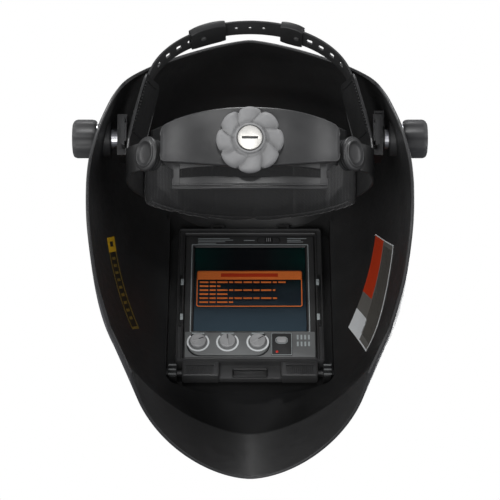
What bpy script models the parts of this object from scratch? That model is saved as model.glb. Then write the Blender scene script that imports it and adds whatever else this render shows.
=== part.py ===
"""Welding helmet: a moulded shell with an auto-darkening filter, hung on a ratchet headgear.

Run with: blender --background --python part.py

Lengths below are millimetres and become metres as each mesh is made. They're drawn from the middle of the
pivot axis, with +X to the wearer's right, +Y the way the wearer looks and +Z up. The finished object is then
shifted so that the middle of its bounding box is the origin.
"""

import bmesh
import bpy
import math
import numpy as np
from mathutils import Matrix, Vector

MM = 0.001

# Touching pieces stand this far apart.
GAP = 0.3

# Middle of the object's bounding box, measured from the middle of the pivot axis.
CENTRE = (0, 48.633, -62.5)

# Shell: each station is (side y, side z, half width, front y, front z, roundness), from the brow to the chin.
SHELL_STATIONS = (
    (-17, 42, 101, 35, 112, 1.33),
    (-24, 34, 104, 78, 117, 1.6),
    (-32, 21, 108.8, 125, 107, 1.9),
    (-39, 6, 113.2, 168, 79, 2.2),
    (-44, -8, 117, 195, 44, 2.5),
    (-48, -24, 120.5, 209, 5, 2.8),
    (-50, -44, 123.8, 198, -45, 3.0),
    (-48, -68, 125, 187, -91, 3.0),
    (-38, -97, 123.8, 176.5, -137, 2.8),
    (-12, -128, 119, 172, -166, 2.3),
    (16, -155, 110, 168, -194, 1.65),
    (44, -183, 93, 132, -242, 1.75),
)
CREASE = 10
SHELL_ROWS = 24
SHELL_COLUMNS = 22
SHELL_WALL = 2.6
SHELL_CENTRE = (0, 60, -60)

# Window frame: its origin is the middle of the filter cartridge, y forward through the lens, z up along it.
WINDOW_ORIGIN = (0, 174, -63.3)
WINDOW_TILT = -13.3
OPENING_W, OPENING_H = 110, 128
TRAY_HALF_W, TRAY_BOTTOM, TRAY_TOP = 71, -90, 81.5
TRAY_WALL = 3
TRAY_CORNER = 8
HOLE_GROW = 1.1
TRAY_FRONT = 21

# Filter cartridge and the frame that holds it.
CARTRIDGE_W, CARTRIDGE_H = 113.4, 132.4
CASE_SPLIT, CASE_FRONT = 5.0, 10.5
VIEW_W, VIEW_H, VIEW_Z = 98.3, 91.4, 8.5
LENS_POCKET_W, LENS_POCKET_H = 104, 97
HOLDER_HALF_W, HOLDER_BOTTOM, HOLDER_TOP = 63.5, -69.3, 73.2
HOLDER_REAR, HOLDER_FRONT = -2.0, 16.3
STRIP_Z = -51
KNOB_XS = (-44.3, -19.2, 6.6)
KNOB_NAMES = ("delay_knob", "sensitivity_knob", "shade_knob")
BUTTON_X, BUTTON_Z = 27, -47.3
LIGHT_X, LIGHT_Z = 23, -59
SWITCH_X, SWITCH_Z = 16.5, 60.8
SENSORS = ((-44, -53.5), (44, -53.5), (-34, 61.4), (34, 61.4))
CELL_X, CELL_Z, CELL_R = -25, -53.5, 10.0

# Holder: bay for the cartridge, lip in front of it, hooks above and spring barrels below.
BAY_HALF_W, BAY_HALF_H, BAY_DEPTH = 57.2, 66.7, 13.2
LIP_HALF_W, LIP_HALF_H = 53, 63
HOOK_X, HOOK_HALF_W, EYE_HALF_W = 29, 6, 3.8
CLIP_IN, CLIP_OUT, CLIP_BOTTOM, CLIP_TOP = 59.1, 60.9, -33, 21
BARREL_IN, BARREL_OUT, BARREL_BORE = 26, 57.5, 3.5
BARREL_RIBS, RIB_PITCH = 6, 4.4
LATCH_Z, LATCH_Y = -77, 5
GRIP_X, GRIP_DEPTH, GRIP_W, GRIP_H = 61.8, 12, 7.2, 13
LATCH_ROD_R, LATCH_ROD_L, TONGUE_END = 3.0, 21.8, 11.5
SPRING_X0, SPRING_X1, SPRING_R, SPRING_WIRE, SPRING_TURNS = 30.4, 39.6, 2.4, 0.35, 5

# Pivot group, measured out from the middle along X.
PIVOT_R = 4.0
BLOCK_IN, BLOCK_OUT = 97.3, 105.0
BUSH_OUT = 110.2
BOSS_IN, BOSS_OUT, BOSS_R = 110.5, 119.5, 14
WASHER_OUT = 121.7
SIDE_KNOB_IN, SIDE_KNOB_OUT, SIDE_KNOB_R = 122, 141, 15.0
BOLT_HEAD, HEAD_IN, HEAD_OUT, SHANK_END = 13, 100.6, 103.3, 138
BUSH_R, WASHER_R, STOP_R, STOP_OUT = 8, 12, 10, 107
BORE_GROW, SHELL_BORE_GROW = 0.4, 0.7
LOBES, LOBE_DEPTH = 8, 0.75

# Headgear frame: turned about the pivot axis so that the band rises toward the forehead.
BAND_TILT = 14
HEAD_Y = -30
HEAD_A, HEAD_FRONT = 88, 120
BAND_OFFSET, BAND_THICK = 6.8, 2.0
BAND_BOTTOM, BAND_TOP = -42, -4
RISER_TOP, RISER_LEAN = 50, 0.27
RISER_FROM, RISER_TO = 5, 25
TAIL_B, TAIL_TOP = 48.5, -16
PAD_FROM, PAD_TO, PAD_IN, PAD_OUT, PAD_LOW = 24, 156, 0.3, 6.0, -50
RAIL_HALF, BLOCK_HALF = 26, 15
PLATE_IN, PLATE_OUT, PLATE_HALF_H = 98.6, 100.2, 11.1

# Swivel stud on each side, in the headgear frame; its axis points out and back.
STUD = (81, -66, -27)
STUD_ANGLE = 50
STUD_R, STUD_SHAFT_R, STUD_HEAD_R, STUD_TAB_R = 13.5, 4.0, 6.5, 12
BAND_TAB, ARM_TAB = (-5.2, -7.2), (-8.1, -10.9)

# Rear cradle, in the headgear frame.
REAR_POWER = 2.6
CRADLE_A, CRADLE_B = 71, 67.8
CRADLE_THICK = 2.1
CRADLE_FROM, CRADLE_TO = 27, 153
COVER_FROM, COVER_TO = 36, 144
NAPE_FROM, NAPE_TO, NAPE_GROW = 42, 138, 2.6
POST_STARTS, POST_SPAN = (43.1, 130.9), 6
CUSHION_FROM, CUSHION_TO = 46, 134
CUSHION_IN, CUSHION_OUT, CUSHION_Z = (66, 62), (70.4, 67.2), (-42, -7)
COVER_A, COVER_B = 78, 76.2
COVER_THICK = 2.0
CRADLE_Z, CRADLE_HALF_H = -23.6, 22.5
KNOB_Z = -28
RACK_Y0, RACK_Y1 = -100.3, -102.3
MODULE, PINION_TEETH = 1.0, 12
PITCH_R = MODULE * PINION_TEETH / 2
RATCHET_R = 24.2
RATCHET_IN, RATCHET_OUT = -108.8, -121.0
CAP_R, CAP_IN, CAP_OUT = 9.2, -121.3, -122.9
DETENT_R, DETENT_TEETH, DETENT_IN, DETENT_OUT = 15.4, 24, -103.1, -105.4

# Crown straps.
CROWN_A, CROWN_Z, CROWN_H = 83.0, 39, 56.0
CROWN_W, STRAP_THICK = 17.5, 1.5
CROWN_FOOT, CROWN_ENDS = 82.3, (20, 25)
CROWN_HOLES, CROWN_HOLE = (73.9, 66.6, 58, 48.7, 38.5, 28.5), 4.6
CENTRE_HOLES, CENTRE_HOLE, CENTRE_LIFT = (-11, 0, 11), 3, 1.1
KEEPER_X, KEEPER_HALF = 34, 5
ACROSS = Vector((0, 0.99, -0.14))

# Brow straps: they rise from above the pivots to meet at the forehead.
BROW_A, BROW_POWER, BROW_W = 83.5, 1.35, 13
BROW_FOOT, BROW_RISE = (15, 5), (60, 56)
BROW_XS = (79, 75, 69, 60, 50, 40, 30, 20, 10, 0, -10, -18)
CLIP_X, CLIP_HALF, CLIP_W = 36, 9, 8
FRONT_ACROSS = Vector((0, 0.68, -0.73))
FRONT_AHEAD = Vector((0, 0.73, 0.68))

# Wall labels: (level, fraction across from the right rim) of the upper right, upper left, lower right and
# lower left corners.
LABEL_LEFT = ((6.0, 0.78), (6.35, 0.815), (7.5, 0.685), (7.65, 0.705))
LABEL_RIGHT = ((6.55, 0.185), (5.65, 0.26), (8.3, 0.285), (7.3, 0.345))
LABEL_LIFT, LABEL_THICK = 0.5, 0.3

COLOURS = {
    "shell_plastic": (0.02, 0.02, 0.022, 0.45, 0),
    "case_plastic": (0.03, 0.03, 0.033, 0.5, 0),
    "gear_plastic": (0.045, 0.045, 0.05, 0.5, 0),
    "knob_plastic": (0.12, 0.12, 0.13, 0.5, 0),
    "strap_plastic": (0.04, 0.04, 0.045, 0.45, 0),
    "foam_fabric": (0.02, 0.02, 0.02, 0.9, 0),
    "steel": (0.6, 0.6, 0.62, 0.3, 1),
    "lens_clear": (0.7, 0.75, 0.75, 0.1, 0),
    "lcd_glass": (0.03, 0.08, 0.07, 0.1, 0),
    "label_film": (0.85, 0.25, 0.05, 0.5, 0),
    "board": (0.05, 0.3, 0.12, 0.5, 0),
    "cell_silicon": (0.03, 0.03, 0.08, 0.3, 0),
    "button_rubber": (0.2, 0.2, 0.2, 0.7, 0),
    "light_red": (0.7, 0.02, 0.02, 0.3, 0),
}


def clear_scene():
    for obj in list(bpy.data.objects):
        bpy.data.objects.remove(obj, do_unlink=True)


def collection(name, hidden=False):
    made = bpy.data.collections.new(name)
    bpy.context.scene.collection.children.link(made)
    made.hide_render = hidden
    return made


def turned(angle, origin=(0, 0, 0)):
    place = Matrix.Translation((Vector(origin) - Vector(CENTRE)) * MM)
    return place @ Matrix.Rotation(math.radians(angle), 4, "X")


WORLD = turned(0)
WINDOW = turned(WINDOW_TILT, WINDOW_ORIGIN)
BAND = turned(BAND_TILT)


def material(name):
    found = bpy.data.materials.get(name)
    if found:
        return found
    made = bpy.data.materials.new(name)
    made.use_nodes = True
    shader = made.node_tree.nodes["Principled BSDF"]
    red, green, blue, rough, metal = COLOURS[name]
    shader.inputs["Base Color"].default_value = (red, green, blue, 1)
    shader.inputs["Roughness"].default_value = rough
    shader.inputs["Metallic"].default_value = metal
    return made


def add(name, bm, slot, frame=WORLD, at=(0, 0, 0), smooth=False, cutter=False):
    """Turns a bmesh in millimetres, drawn round the point `at`, into an object at `at` in `frame`."""
    bmesh.ops.scale(bm, vec=(MM, MM, MM), verts=bm.verts)
    bmesh.ops.recalc_face_normals(bm, faces=bm.faces)
    mesh = bpy.data.meshes.new(name)
    bm.to_mesh(mesh)
    bm.free()
    obj = bpy.data.objects.new(name, mesh)
    obj.matrix_world = frame @ Matrix.Translation(Vector(at) * MM)
    if cutter:
        CUTTERS.objects.link(obj)
        obj.hide_render = True
        obj.display_type = "WIRE"
    else:
        PARTS.objects.link(obj)
        mesh.materials.append(material(slot))
    if smooth:
        mesh.shade_smooth()
        mesh.set_sharp_from_angle(angle=math.radians(35))
    return obj


def boolean(obj, other, operation):
    mod = obj.modifiers.new(other.name, "BOOLEAN")
    mod.object = other
    mod.operation = operation
    mod.solver = "EXACT"


def cut(obj, name, bm, frame=WORLD, at=(0, 0, 0)):
    boolean(obj, add(name + "_cut", bm, None, frame, at, cutter=True), "DIFFERENCE")


def join(obj, name, bm, frame=WORLD, at=(0, 0, 0)):
    boolean(obj, add(name + "_add", bm, None, frame, at, cutter=True), "UNION")


def loft(sections, loop=False):
    """Skins closed sections that have the same number of points, and caps both ends unless it loops."""
    bm = bmesh.new()
    rings = [[bm.verts.new(p) for p in section] for section in sections]
    count = len(rings[0])
    pairs = list(zip(rings, rings[1:]))
    if loop:
        pairs.append((rings[-1], rings[0]))
    for one, two in pairs:
        for i in range(count):
            j = (i + 1) % count
            bm.faces.new((one[i], one[j], two[j], two[i]))
    if not loop:
        bm.faces.new(rings[0])
        bm.faces.new(list(reversed(rings[-1])))
    return bm


def box(x0, x1, y0, y1, z0, z1):
    ring = ((x0, z0), (x1, z0), (x1, z1), (x0, z1))
    return loft([[(x, y, z) for x, z in ring] for y in (y0, y1)])


def merged(parts):
    """One bmesh of several separate closed pieces."""
    out = bmesh.new()
    for part in parts:
        mesh = bpy.data.meshes.new("piece")
        part.to_mesh(mesh)
        part.free()
        out.from_mesh(mesh)
        bpy.data.meshes.remove(mesh)
    return out


def circle(radius, count=24, lobes=0, depth=0.0, phase=0.0):
    points = []
    for i in range(count):
        a = 2 * math.pi * i / count + phase
        r = radius + depth * math.cos(lobes * a)
        points.append((r * math.cos(a), r * math.sin(a)))
    return points


def rounded(width, height, radius, steps=4):
    points = []
    for cx, cy, start in ((1, 1, 0), (-1, 1, 90), (-1, -1, 180), (1, -1, 270)):
        for i in range(steps + 1):
            a = math.radians(start + 90 * i / steps)
            x = cx * (width / 2 - radius) + radius * math.cos(a)
            y = cy * (height / 2 - radius) + radius * math.sin(a)
            points.append((x, y))
    return points


def along_y(outline, levels):
    """Stacks an (x, z) outline along y; each level is (y, scale)."""
    return loft([[(x * s, y, z * s) for x, z in outline] for y, s in levels])


def along_x(outline, levels):
    """Stacks a (y, z) outline along x; each level is (x, scale)."""
    return loft([[(x, y * s, z * s) for y, z in outline] for x, s in levels])


def rod_x(radius, x0, x1, count=24):
    return along_x(circle(radius, count), ((x0, 1), (x1, 1)))


def rod_y(radius, y0, y1, count=24):
    return along_y(circle(radius, count), ((y0, 1), (y1, 1)))


# ---- shell ----


def spline(values, t):
    """Catmull-Rom through a list of values, at the fractional index t."""
    last = len(values) - 1
    i = min(int(t), last - 1)
    f = t - i
    b, c = values[i], values[i + 1]
    a = values[i - 1] if i > 0 else 2 * b - c
    d = values[i + 2] if i + 2 <= last else 2 * c - b
    return 0.5 * (2 * b + (c - a) * f + (2 * a - 5 * b + 4 * c - d) * f**2 + (3 * b - a - 3 * c + d) * f**3)


def shell_station(t):
    if t <= CREASE:
        return [spline([s[k] for s in SHELL_STATIONS[: CREASE + 1]], t) for k in range(6)]
    one, two = SHELL_STATIONS[CREASE], SHELL_STATIONS[CREASE + 1]
    return [a + (b - a) * (t - CREASE) for a, b in zip(one, two)]


def shell_row(t, columns=SHELL_COLUMNS):
    """Points across the outer surface from the right rim to the left rim, evenly spaced along the curve."""
    side_y, side_z, half, front_y, front_z, power = shell_station(t)
    a = np.linspace(0, math.pi, 361)
    across = np.sign(np.cos(a)) * np.abs(np.cos(a)) ** (2 / power)
    ahead = np.abs(np.sin(a)) ** (2 / power)
    out_y = side_y + (front_y - side_y) * ahead
    out_z = side_z + (front_z - side_z) * ahead
    fine = np.stack([half * across, out_y, out_z], 1)
    run = np.concatenate([[0], np.cumsum(np.linalg.norm(np.diff(fine, axis=0), axis=1))])
    even = np.linspace(0, run[-1], columns + 1)
    return np.stack([np.interp(even, run, fine[:, k]) for k in range(3)], 1)


def shell_levels(rows=SHELL_ROWS):
    upper = np.linspace(0, CREASE, rows - 3)
    return list(upper) + [CREASE + f for f in (0.34, 0.67, 1.0)]


def shell_grid(levels, columns=SHELL_COLUMNS):
    return np.array([shell_row(t, columns) for t in levels])


def grid_normals(grid):
    down = np.gradient(grid, axis=0)
    over = np.gradient(grid, axis=1)
    normal = np.cross(over, down)
    normal /= np.linalg.norm(normal, axis=2)[:, :, None]
    flip = np.sum(normal * (grid - np.array(SHELL_CENTRE)), axis=2) < 0
    normal[flip] *= -1
    return normal


def slab(outer, inner):
    """Closed solid between two matching grids."""
    bm = bmesh.new()
    rows, columns = outer.shape[:2]
    tops = [[bm.verts.new(p) for p in row] for row in outer]
    lows = [[bm.verts.new(p) for p in row] for row in inner]
    for i in range(rows - 1):
        for j in range(columns - 1):
            bm.faces.new((tops[i][j], tops[i][j + 1], tops[i + 1][j + 1], tops[i + 1][j]))
            bm.faces.new((lows[i][j], lows[i + 1][j], lows[i + 1][j + 1], lows[i][j + 1]))
    edge = [(0, j) for j in range(columns)] + [(i, columns - 1) for i in range(1, rows)]
    edge += [(rows - 1, j) for j in range(columns - 2, -1, -1)] + [(i, 0) for i in range(rows - 2, 0, -1)]
    for (a, b), (c, d) in zip(edge, edge[1:] + edge[:1]):
        bm.faces.new((tops[a][b], lows[a][b], lows[c][d], tops[c][d]))
    return bm


def shell_cavity(grid, normals):
    """The space inside the shell, run on past the rim, for trimming what would stand into it."""
    inside = grid - normals * (SHELL_WALL - 0.6)
    sections = []
    for row in inside:
        back = [row[-1] + (0, -60, 0), row[0] + (0, -60, 0)]
        sections.append([tuple(p) for p in row] + [tuple(p) for p in back])
    return loft(sections)


def tray_outline(grow):
    """Outline of the window tray, grown outwards."""
    middle = (TRAY_TOP + TRAY_BOTTOM) / 2
    ring = rounded(2 * (TRAY_HALF_W + grow), TRAY_TOP - TRAY_BOTTOM + 2 * grow, TRAY_CORNER + grow)
    return [(x, z + middle) for x, z in ring]


def build_shell():
    grid = shell_grid(shell_levels())
    normals = grid_normals(grid)
    shell = add("shell", slab(grid, grid - normals * SHELL_WALL), "shell_plastic", smooth=True)
    cut(shell, "window_hole", along_y(tray_outline(HOLE_GROW), ((-60, 1), (60, 1))), WINDOW)
    levels = ((-45, 1), (TRAY_FRONT - 4, 1), (TRAY_FRONT, 0.96))
    tray = add("window_tray_add", along_y(tray_outline(TRAY_WALL), levels), None, WINDOW, cutter=True)
    space = along_y(tray_outline(0), ((-60, 1), (TRAY_FRONT - TRAY_WALL, 1)))
    cut(tray, "tray_space", space, WINDOW)
    cut(tray, "cavity", shell_cavity(grid, normals))
    opening = [(x, z) for x, z in rounded(OPENING_W, OPENING_H, 5)]
    cut(tray, "opening", along_y(opening, ((0, 1), (TRAY_FRONT + 5, 1))), WINDOW)
    slots = [box(s * 66, s * 80, LATCH_Y - 3.5, LATCH_Y + 3.5, LATCH_Z - 4, LATCH_Z + 4) for s in (-1, 1)]
    cut(tray, "catch_slots", merged(slots), WINDOW)
    boolean(shell, tray, "UNION")
    bosses = [rod_x(BOSS_R, s * BOSS_IN, s * BOSS_OUT, 32) for s in (-1, 1)]
    join(shell, "pivot_bosses", merged(bosses))
    bores = [rod_x(PIVOT_R + SHELL_BORE_GROW, s * 100, s * 130) for s in (-1, 1)]
    cut(shell, "pivot_bores", merged(bores))


def wall_patch(corners, lift, thick):
    """Thin solid on the shell's inner wall, between four (level, fraction across) corners."""
    levels = shell_levels()
    grid = shell_grid(levels)
    normals = grid_normals(grid)
    (a, b), (c, d) = np.array(corners[:2]), np.array(corners[2:])
    outer, inner = [], []
    for v in np.linspace(0, 1, 9):
        for u in np.linspace(0, 1, 5):
            level, across = (a * (1 - u) + b * u) * (1 - v) + (c * (1 - u) + d * u) * v
            i = np.interp(level, levels, np.arange(len(levels)))
            j = across * SHELL_COLUMNS
            point, normal = bilinear(grid, i, j), bilinear(normals, i, j)
            outer.append(point - normal * (SHELL_WALL + lift))
            inner.append(point - normal * (SHELL_WALL + lift + thick))
    return slab(np.array(outer).reshape(9, 5, 3), np.array(inner).reshape(9, 5, 3))


def bilinear(grid, i, j):
    r, c = min(int(i), grid.shape[0] - 2), min(int(j), grid.shape[1] - 2)
    u, v = i - r, j - c
    upper = grid[r, c] * (1 - v) + grid[r, c + 1] * v
    lower = grid[r + 1, c] * (1 - v) + grid[r + 1, c + 1] * v
    return upper * (1 - u) + lower * u


# ---- window: cover lens, holder, cartridge and controls ----


def build_cover_lens():
    lens = along_y(rounded(114, 133, 3), ((HOLDER_FRONT + GAP, 1), (HOLDER_FRONT + GAP + 1.1, 1)))
    add("front_cover_lens", lens, "lens_clear", WINDOW)


def build_holder():
    middle = (HOLDER_TOP + HOLDER_BOTTOM) / 2
    outline = [(x, z + middle) for x, z in rounded(2 * HOLDER_HALF_W, HOLDER_TOP - HOLDER_BOTTOM, 3, 2)]
    body = along_y(outline, ((HOLDER_REAR, 1), (HOLDER_FRONT, 1)))
    holder = add("filter_holder", body, "case_plastic", WINDOW)
    add_hooks(holder)
    add_barrels(holder)
    space = box(-BAY_HALF_W, BAY_HALF_W, -5, BAY_DEPTH, -BAY_HALF_H, BAY_HALF_H)
    cut(holder, "cartridge_space", space, WINDOW)
    cut(holder, "lip_opening", box(-LIP_HALF_W, LIP_HALF_W, 10, 20, -LIP_HALF_H, LIP_HALF_H), WINDOW)
    clips = [box(s * CLIP_IN, s * CLIP_OUT, -5, 20, CLIP_BOTTOM, CLIP_TOP) for s in (-1, 1)]
    cut(holder, "clip_slots", merged(clips), WINDOW)


def add_hooks(holder):
    """Two open hooks on the holder's top edge."""
    hooks = []
    eyes = []
    for s in (-1, 1):
        x = s * HOOK_X
        hooks.append(box(x - HOOK_HALF_W, x + HOOK_HALF_W, 1, 7, HOLDER_TOP - 1, HOLDER_TOP + 7))
        eyes.append(box(x - EYE_HALF_W, x + EYE_HALF_W, -3, 12, HOLDER_TOP + 1.4, HOLDER_TOP + 4.8))
    join(holder, "hooks", merged(hooks), WINDOW)
    cut(holder, "hook_eyes", merged(eyes), WINDOW)


def add_barrels(holder):
    """Spring barrels below the holder, joined by a bar that carries a plate."""
    for s in (-1, 1):
        barrel = box(s * BARREL_IN, s * BARREL_OUT, -1, 11, LATCH_Z - 6.5, HOLDER_BOTTOM + 1)
        join(holder, "barrel", barrel, WINDOW)
    bar = box(-BARREL_IN - 1, BARREL_IN + 1, 5, 11.5, LATCH_Z - 5.5, HOLDER_BOTTOM + 1.2)
    join(holder, "barrel_bar", bar, WINDOW)
    plate = along_y([(x, z + LATCH_Z - 0.3) for x, z in rounded(30, 7.5, 1.5)], ((3.6, 0.97), (6, 1)))
    join(holder, "centre_plate", plate, WINDOW)
    grooves = []
    for s in (-1, 1):
        for i in range(BARREL_RIBS):
            x = s * (31 + RIB_PITCH * i)
            grooves.append(box(x - 1, x + 1, HOLDER_REAR, -0.4, LATCH_Z - 7, -60))
    cut(holder, "barrel_ribs", merged(grooves), WINDOW)
    bores = [rod_x(BARREL_BORE, s * 30, s * 60, 20) for s in (-1, 1)]
    cut(holder, "barrel_bores", merged(bores), WINDOW, (0, LATCH_Y, LATCH_Z))


def build_latches():
    """Sliding grips with three ridges, each with a rod into its barrel and a tongue into the tray wall."""
    for side, s in (("left", -1), ("right", 1)):
        at = (s * GRIP_X, LATCH_Y, LATCH_Z)
        grip = along_x(rounded(GRIP_DEPTH, GRIP_H, 1.5, 2), ((0, 1), (s * GRIP_W, 1)))
        latch = add("latch_" + side, grip, "case_plastic", WINDOW, at)
        join(latch, "latch_rod", rod_x(LATCH_ROD_R, s * -LATCH_ROD_L, s * 1, 16), WINDOW, at)
        join(latch, "latch_tongue", box(s * 6, s * TONGUE_END, -2.5, 2.5, -3, 3), WINDOW, at)
        grooves = [box(s * -1, s * (GRIP_W + 1), -8, -5.2, e * 1.2, e * 3.7) for e in (-1, 1)]
        cut(latch, "latch_grooves", merged(grooves), WINDOW, at)
        spring("latch_spring_" + side, s * SPRING_X0, s * SPRING_X1, WINDOW, LATCH_Y, LATCH_Z)


def spring(name, x0, x1, frame, y, z, per_turn=8, sides=6):
    """Coil along x, skinned from circular sections."""
    steps = SPRING_TURNS * per_turn
    travel = abs(x1 - x0) - 2 * SPRING_WIRE
    sections = []
    for i in range(steps + 1):
        a = 2 * math.pi * i / per_turn
        outward = Vector((0, math.cos(a), math.sin(a)))
        centre = Vector((SPRING_WIRE + travel * i / steps, 0, 0)) + outward * SPRING_R
        ring = []
        for k in range(sides):
            b = 2 * math.pi * k / sides
            ring.append(centre + SPRING_WIRE * (outward * math.cos(b) + Vector((1, 0, 0)) * math.sin(b)))
        sections.append([(math.copysign(p.x, x1), p.y, p.z) for p in ring])
    add(name, loft(sections), "steel", frame, (x0, y, z), smooth=True)


def plate_at(width, height, radius, steps, x, z, y0, y1):
    """Rounded plate between y0 and y1 whose middle is at (x, z)."""
    return along_y([(a + x, b + z) for a, b in rounded(width, height, radius, steps)], ((y0, 1), (y1, 1)))


def build_cartridge():
    outline = rounded(CARTRIDGE_W, CARTRIDGE_H, 2, 2)
    rear = add("cartridge_rear_case", along_y(outline, ((0, 1), (CASE_SPLIT, 1))), "case_plastic", WINDOW)
    join(rear, "control_strip", plate_at(69, 24, 11.9, 6, -18.5, STRIP_Z, -1.5, 1), WINDOW)
    join(rear, "button_panel", plate_at(18.5, 24, 1, 1, BUTTON_X, STRIP_Z, -0.9, 1), WINDOW)
    cut(rear, "view", plate_at(VIEW_W, VIEW_H, 1, 1, 0, VIEW_Z, -3, 8), WINDOW)
    cut(rear, "lens_pocket", plate_at(LENS_POCKET_W, LENS_POCKET_H, 1, 1, 0, VIEW_Z, 1.6, 8), WINDOW)
    cut(rear, "board_pocket", box(-52, 52, 2.2, 8, -64, -42.5), WINDOW)
    stem = circle(2.4, 16)
    stems = [along_y([(a + x, b + STRIP_Z + 2) for a, b in stem], ((-4, 1), (4, 1))) for x in KNOB_XS]
    cut(rear, "stem_holes", merged(stems), WINDOW)
    cut(rear, "button_hole", plate_at(9.6, 6.2, 3, 4, BUTTON_X, BUTTON_Z, -3, 4), WINDOW)
    cut(rear, "light_hole", rod_y(1.6, -3, 4, 14), WINDOW, (LIGHT_X, 0, LIGHT_Z))
    cut(rear, "switch_recess", plate_at(19, 5.6, 2.7, 4, SWITCH_X, SWITCH_Z, -2, 1.3), WINDOW)

    body = along_y(outline, ((CASE_SPLIT + GAP, 1), (CASE_FRONT, 1)))
    front = add("cartridge_front_case", body, "case_plastic", WINDOW)
    cut(front, "front_view", plate_at(97, 90, 1, 1, 0, VIEW_Z, 3, 14), WINDOW)
    cut(front, "glass_pocket", plate_at(LENS_POCKET_W, LENS_POCKET_H, 1, 1, 0, VIEW_Z, 3, 8.2), WINDOW)
    cut(front, "cell_pocket", rod_y(CELL_R + 0.4, 3, 8.9, 28), WINDOW, (CELL_X, 0, CELL_Z))
    cut(front, "solar_recess", box(-22, 22, 9.6, 12, -60, -44.5), WINDOW)
    for i, (x, z) in enumerate(SENSORS):
        cut(front, "sensor_hole", rod_y(3.3, 7.6, 12, 16), WINDOW, (x, 0, z))
        add("arc_sensor_%d" % (i + 1), rod_y(2.9, 7.9, 10.3, 16), "cell_silicon", WINDOW, (x, 0, z))


def build_filter_stack():
    sheet = rounded(LENS_POCKET_W - 1, LENS_POCKET_H - 1, 1, 1)
    at = (0, 0, VIEW_Z)
    add("inner_cover_lens", along_y(sheet, ((1.9, 1), (2.9, 1))), "lens_clear", WINDOW, at)
    add("lcd_filter", along_y(sheet, ((3.2, 1), (7.9, 1))), "lcd_glass", WINDOW, at)
    label = along_y(rounded(92, 38.5, 1.5, 2), ((1.25, 1), (1.6, 1)))
    add("lens_label", label, "label_film", WINDOW, (-0.5, 0, VIEW_Z + 0.35))
    add("circuit_board", box(-51, 51, 2.7, 4.2, -63.3, -43.2), "board", WINDOW)
    add("solar_cell", box(-21.5, 21.5, 9.9, 10.4, -59.5, -45), "cell_silicon", WINDOW)
    add("coin_cell", rod_y(CELL_R, 5.5, 8.6, 28), "steel", WINDOW, (CELL_X, 0, CELL_Z))


def build_controls():
    for name, x in zip(KNOB_NAMES, KNOB_XS):
        at = (x, -1.8, STRIP_Z + 2)
        dial = along_y(circle(7, 24), ((0, 1), (-2.4, 0.96), (-3, 0.88)))
        knob = add(name, dial, "knob_plastic", WINDOW, at)
        join(knob, "stem", rod_y(2.0, -1, 4.2, 14), WINDOW, at)
        cut(knob, "pointer", box(-4.2, 4.2, -4, -2.2, -0.8, 0.8), WINDOW, at)
    slider = along_y(rounded(7, 4.6, 1, 2), ((-0.9, 1), (0.9, 1)))
    add("mode_switch", slider, "button_rubber", WINDOW, (SWITCH_X, 0, SWITCH_Z))
    button = along_y(rounded(9, 5.6, 2.7, 4), ((-2.2, 0.94), (-1.8, 1), (2.2, 1)))
    add("test_button", button, "button_rubber", WINDOW, (BUTTON_X, -0.5, BUTTON_Z))
    lamp = along_y(circle(1.3, 14), ((-1.3, 0.7), (-0.9, 1), (2.2, 1)))
    add("status_light", lamp, "light_red", WINDOW, (LIGHT_X, 0, LIGHT_Z))


# ---- pivot group ----


def build_pivots():
    for side, s in (("left", -1), ("right", 1)):
        head = along_x(rounded(BOLT_HEAD, BOLT_HEAD, 1, 1), ((s * HEAD_IN, 1), (s * HEAD_OUT, 1)))
        bolt = add("pivot_bolt_" + side, head, "steel", BAND)
        join(bolt, "shank", rod_x(PIVOT_R, s * 102, s * SHANK_END), BAND)
        start = STOP_OUT + GAP if s > 0 else BLOCK_OUT + GAP
        bush = add("friction_bush_" + side, rod_x(BUSH_R, s * start, s * BUSH_OUT), "steel", BAND)
        cut(bush, "bush_bore", rod_x(PIVOT_R + BORE_GROW, s * 100, s * 120), BAND)
        disc = rod_x(WASHER_R, s * (BOSS_OUT + GAP), s * WASHER_OUT)
        washer = add("clamp_washer_" + side, disc, "steel", BAND)
        cut(washer, "washer_bore", rod_x(PIVOT_R + BORE_GROW, s * 110, s * 130), BAND)
        build_slide_block(side, s)
        build_side_knob(side, s)
    build_tilt_stop()


def build_tilt_stop():
    """Disc on the right pivot with an arm that hooks over the slide block."""
    stop_in = BLOCK_OUT + GAP
    disc = along_x(circle(STOP_R, 24), ((stop_in, 1), (STOP_OUT, 1)))
    stop = add("tilt_stop", disc, "gear_plastic", BAND)
    join(stop, "stop_arm", box(stop_in, STOP_OUT, -4, 4, 6, 22.3), BAND)
    join(stop, "stop_tab", box(99, STOP_OUT - 0.2, -3.9, 3.9, 19.9, 22.2), BAND)
    cut(stop, "stop_bore", rod_x(PIVOT_R + BORE_GROW, 100, 110), BAND)


def build_slide_block(side, s):
    """Channel that wraps the edges of the side plate and holds the square head of the pivot bolt."""
    section = [
        (BLOCK_OUT, -16.5), (BLOCK_OUT, 16.5), (BLOCK_IN, 16.5), (BLOCK_IN, 7.6), (98.3, 7.6), (98.3, 11.4),
        (100.5, 11.4), (100.5, -11.4), (98.3, -11.4), (98.3, -7.6), (BLOCK_IN, -7.6), (BLOCK_IN, -16.5),
    ]
    body = loft([[(s * x, y, z) for x, z in section] for y in (-BLOCK_HALF, BLOCK_HALF)])
    block = add("slide_block_" + side, body, "gear_plastic", BAND)
    cut(block, "head_pocket", box(s * 90, s * 103.6, -6.9, 6.9, -6.9, 6.9), BAND)
    cut(block, "block_bore", rod_x(PIVOT_R + BORE_GROW, s * 100, s * 110), BAND)


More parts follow.
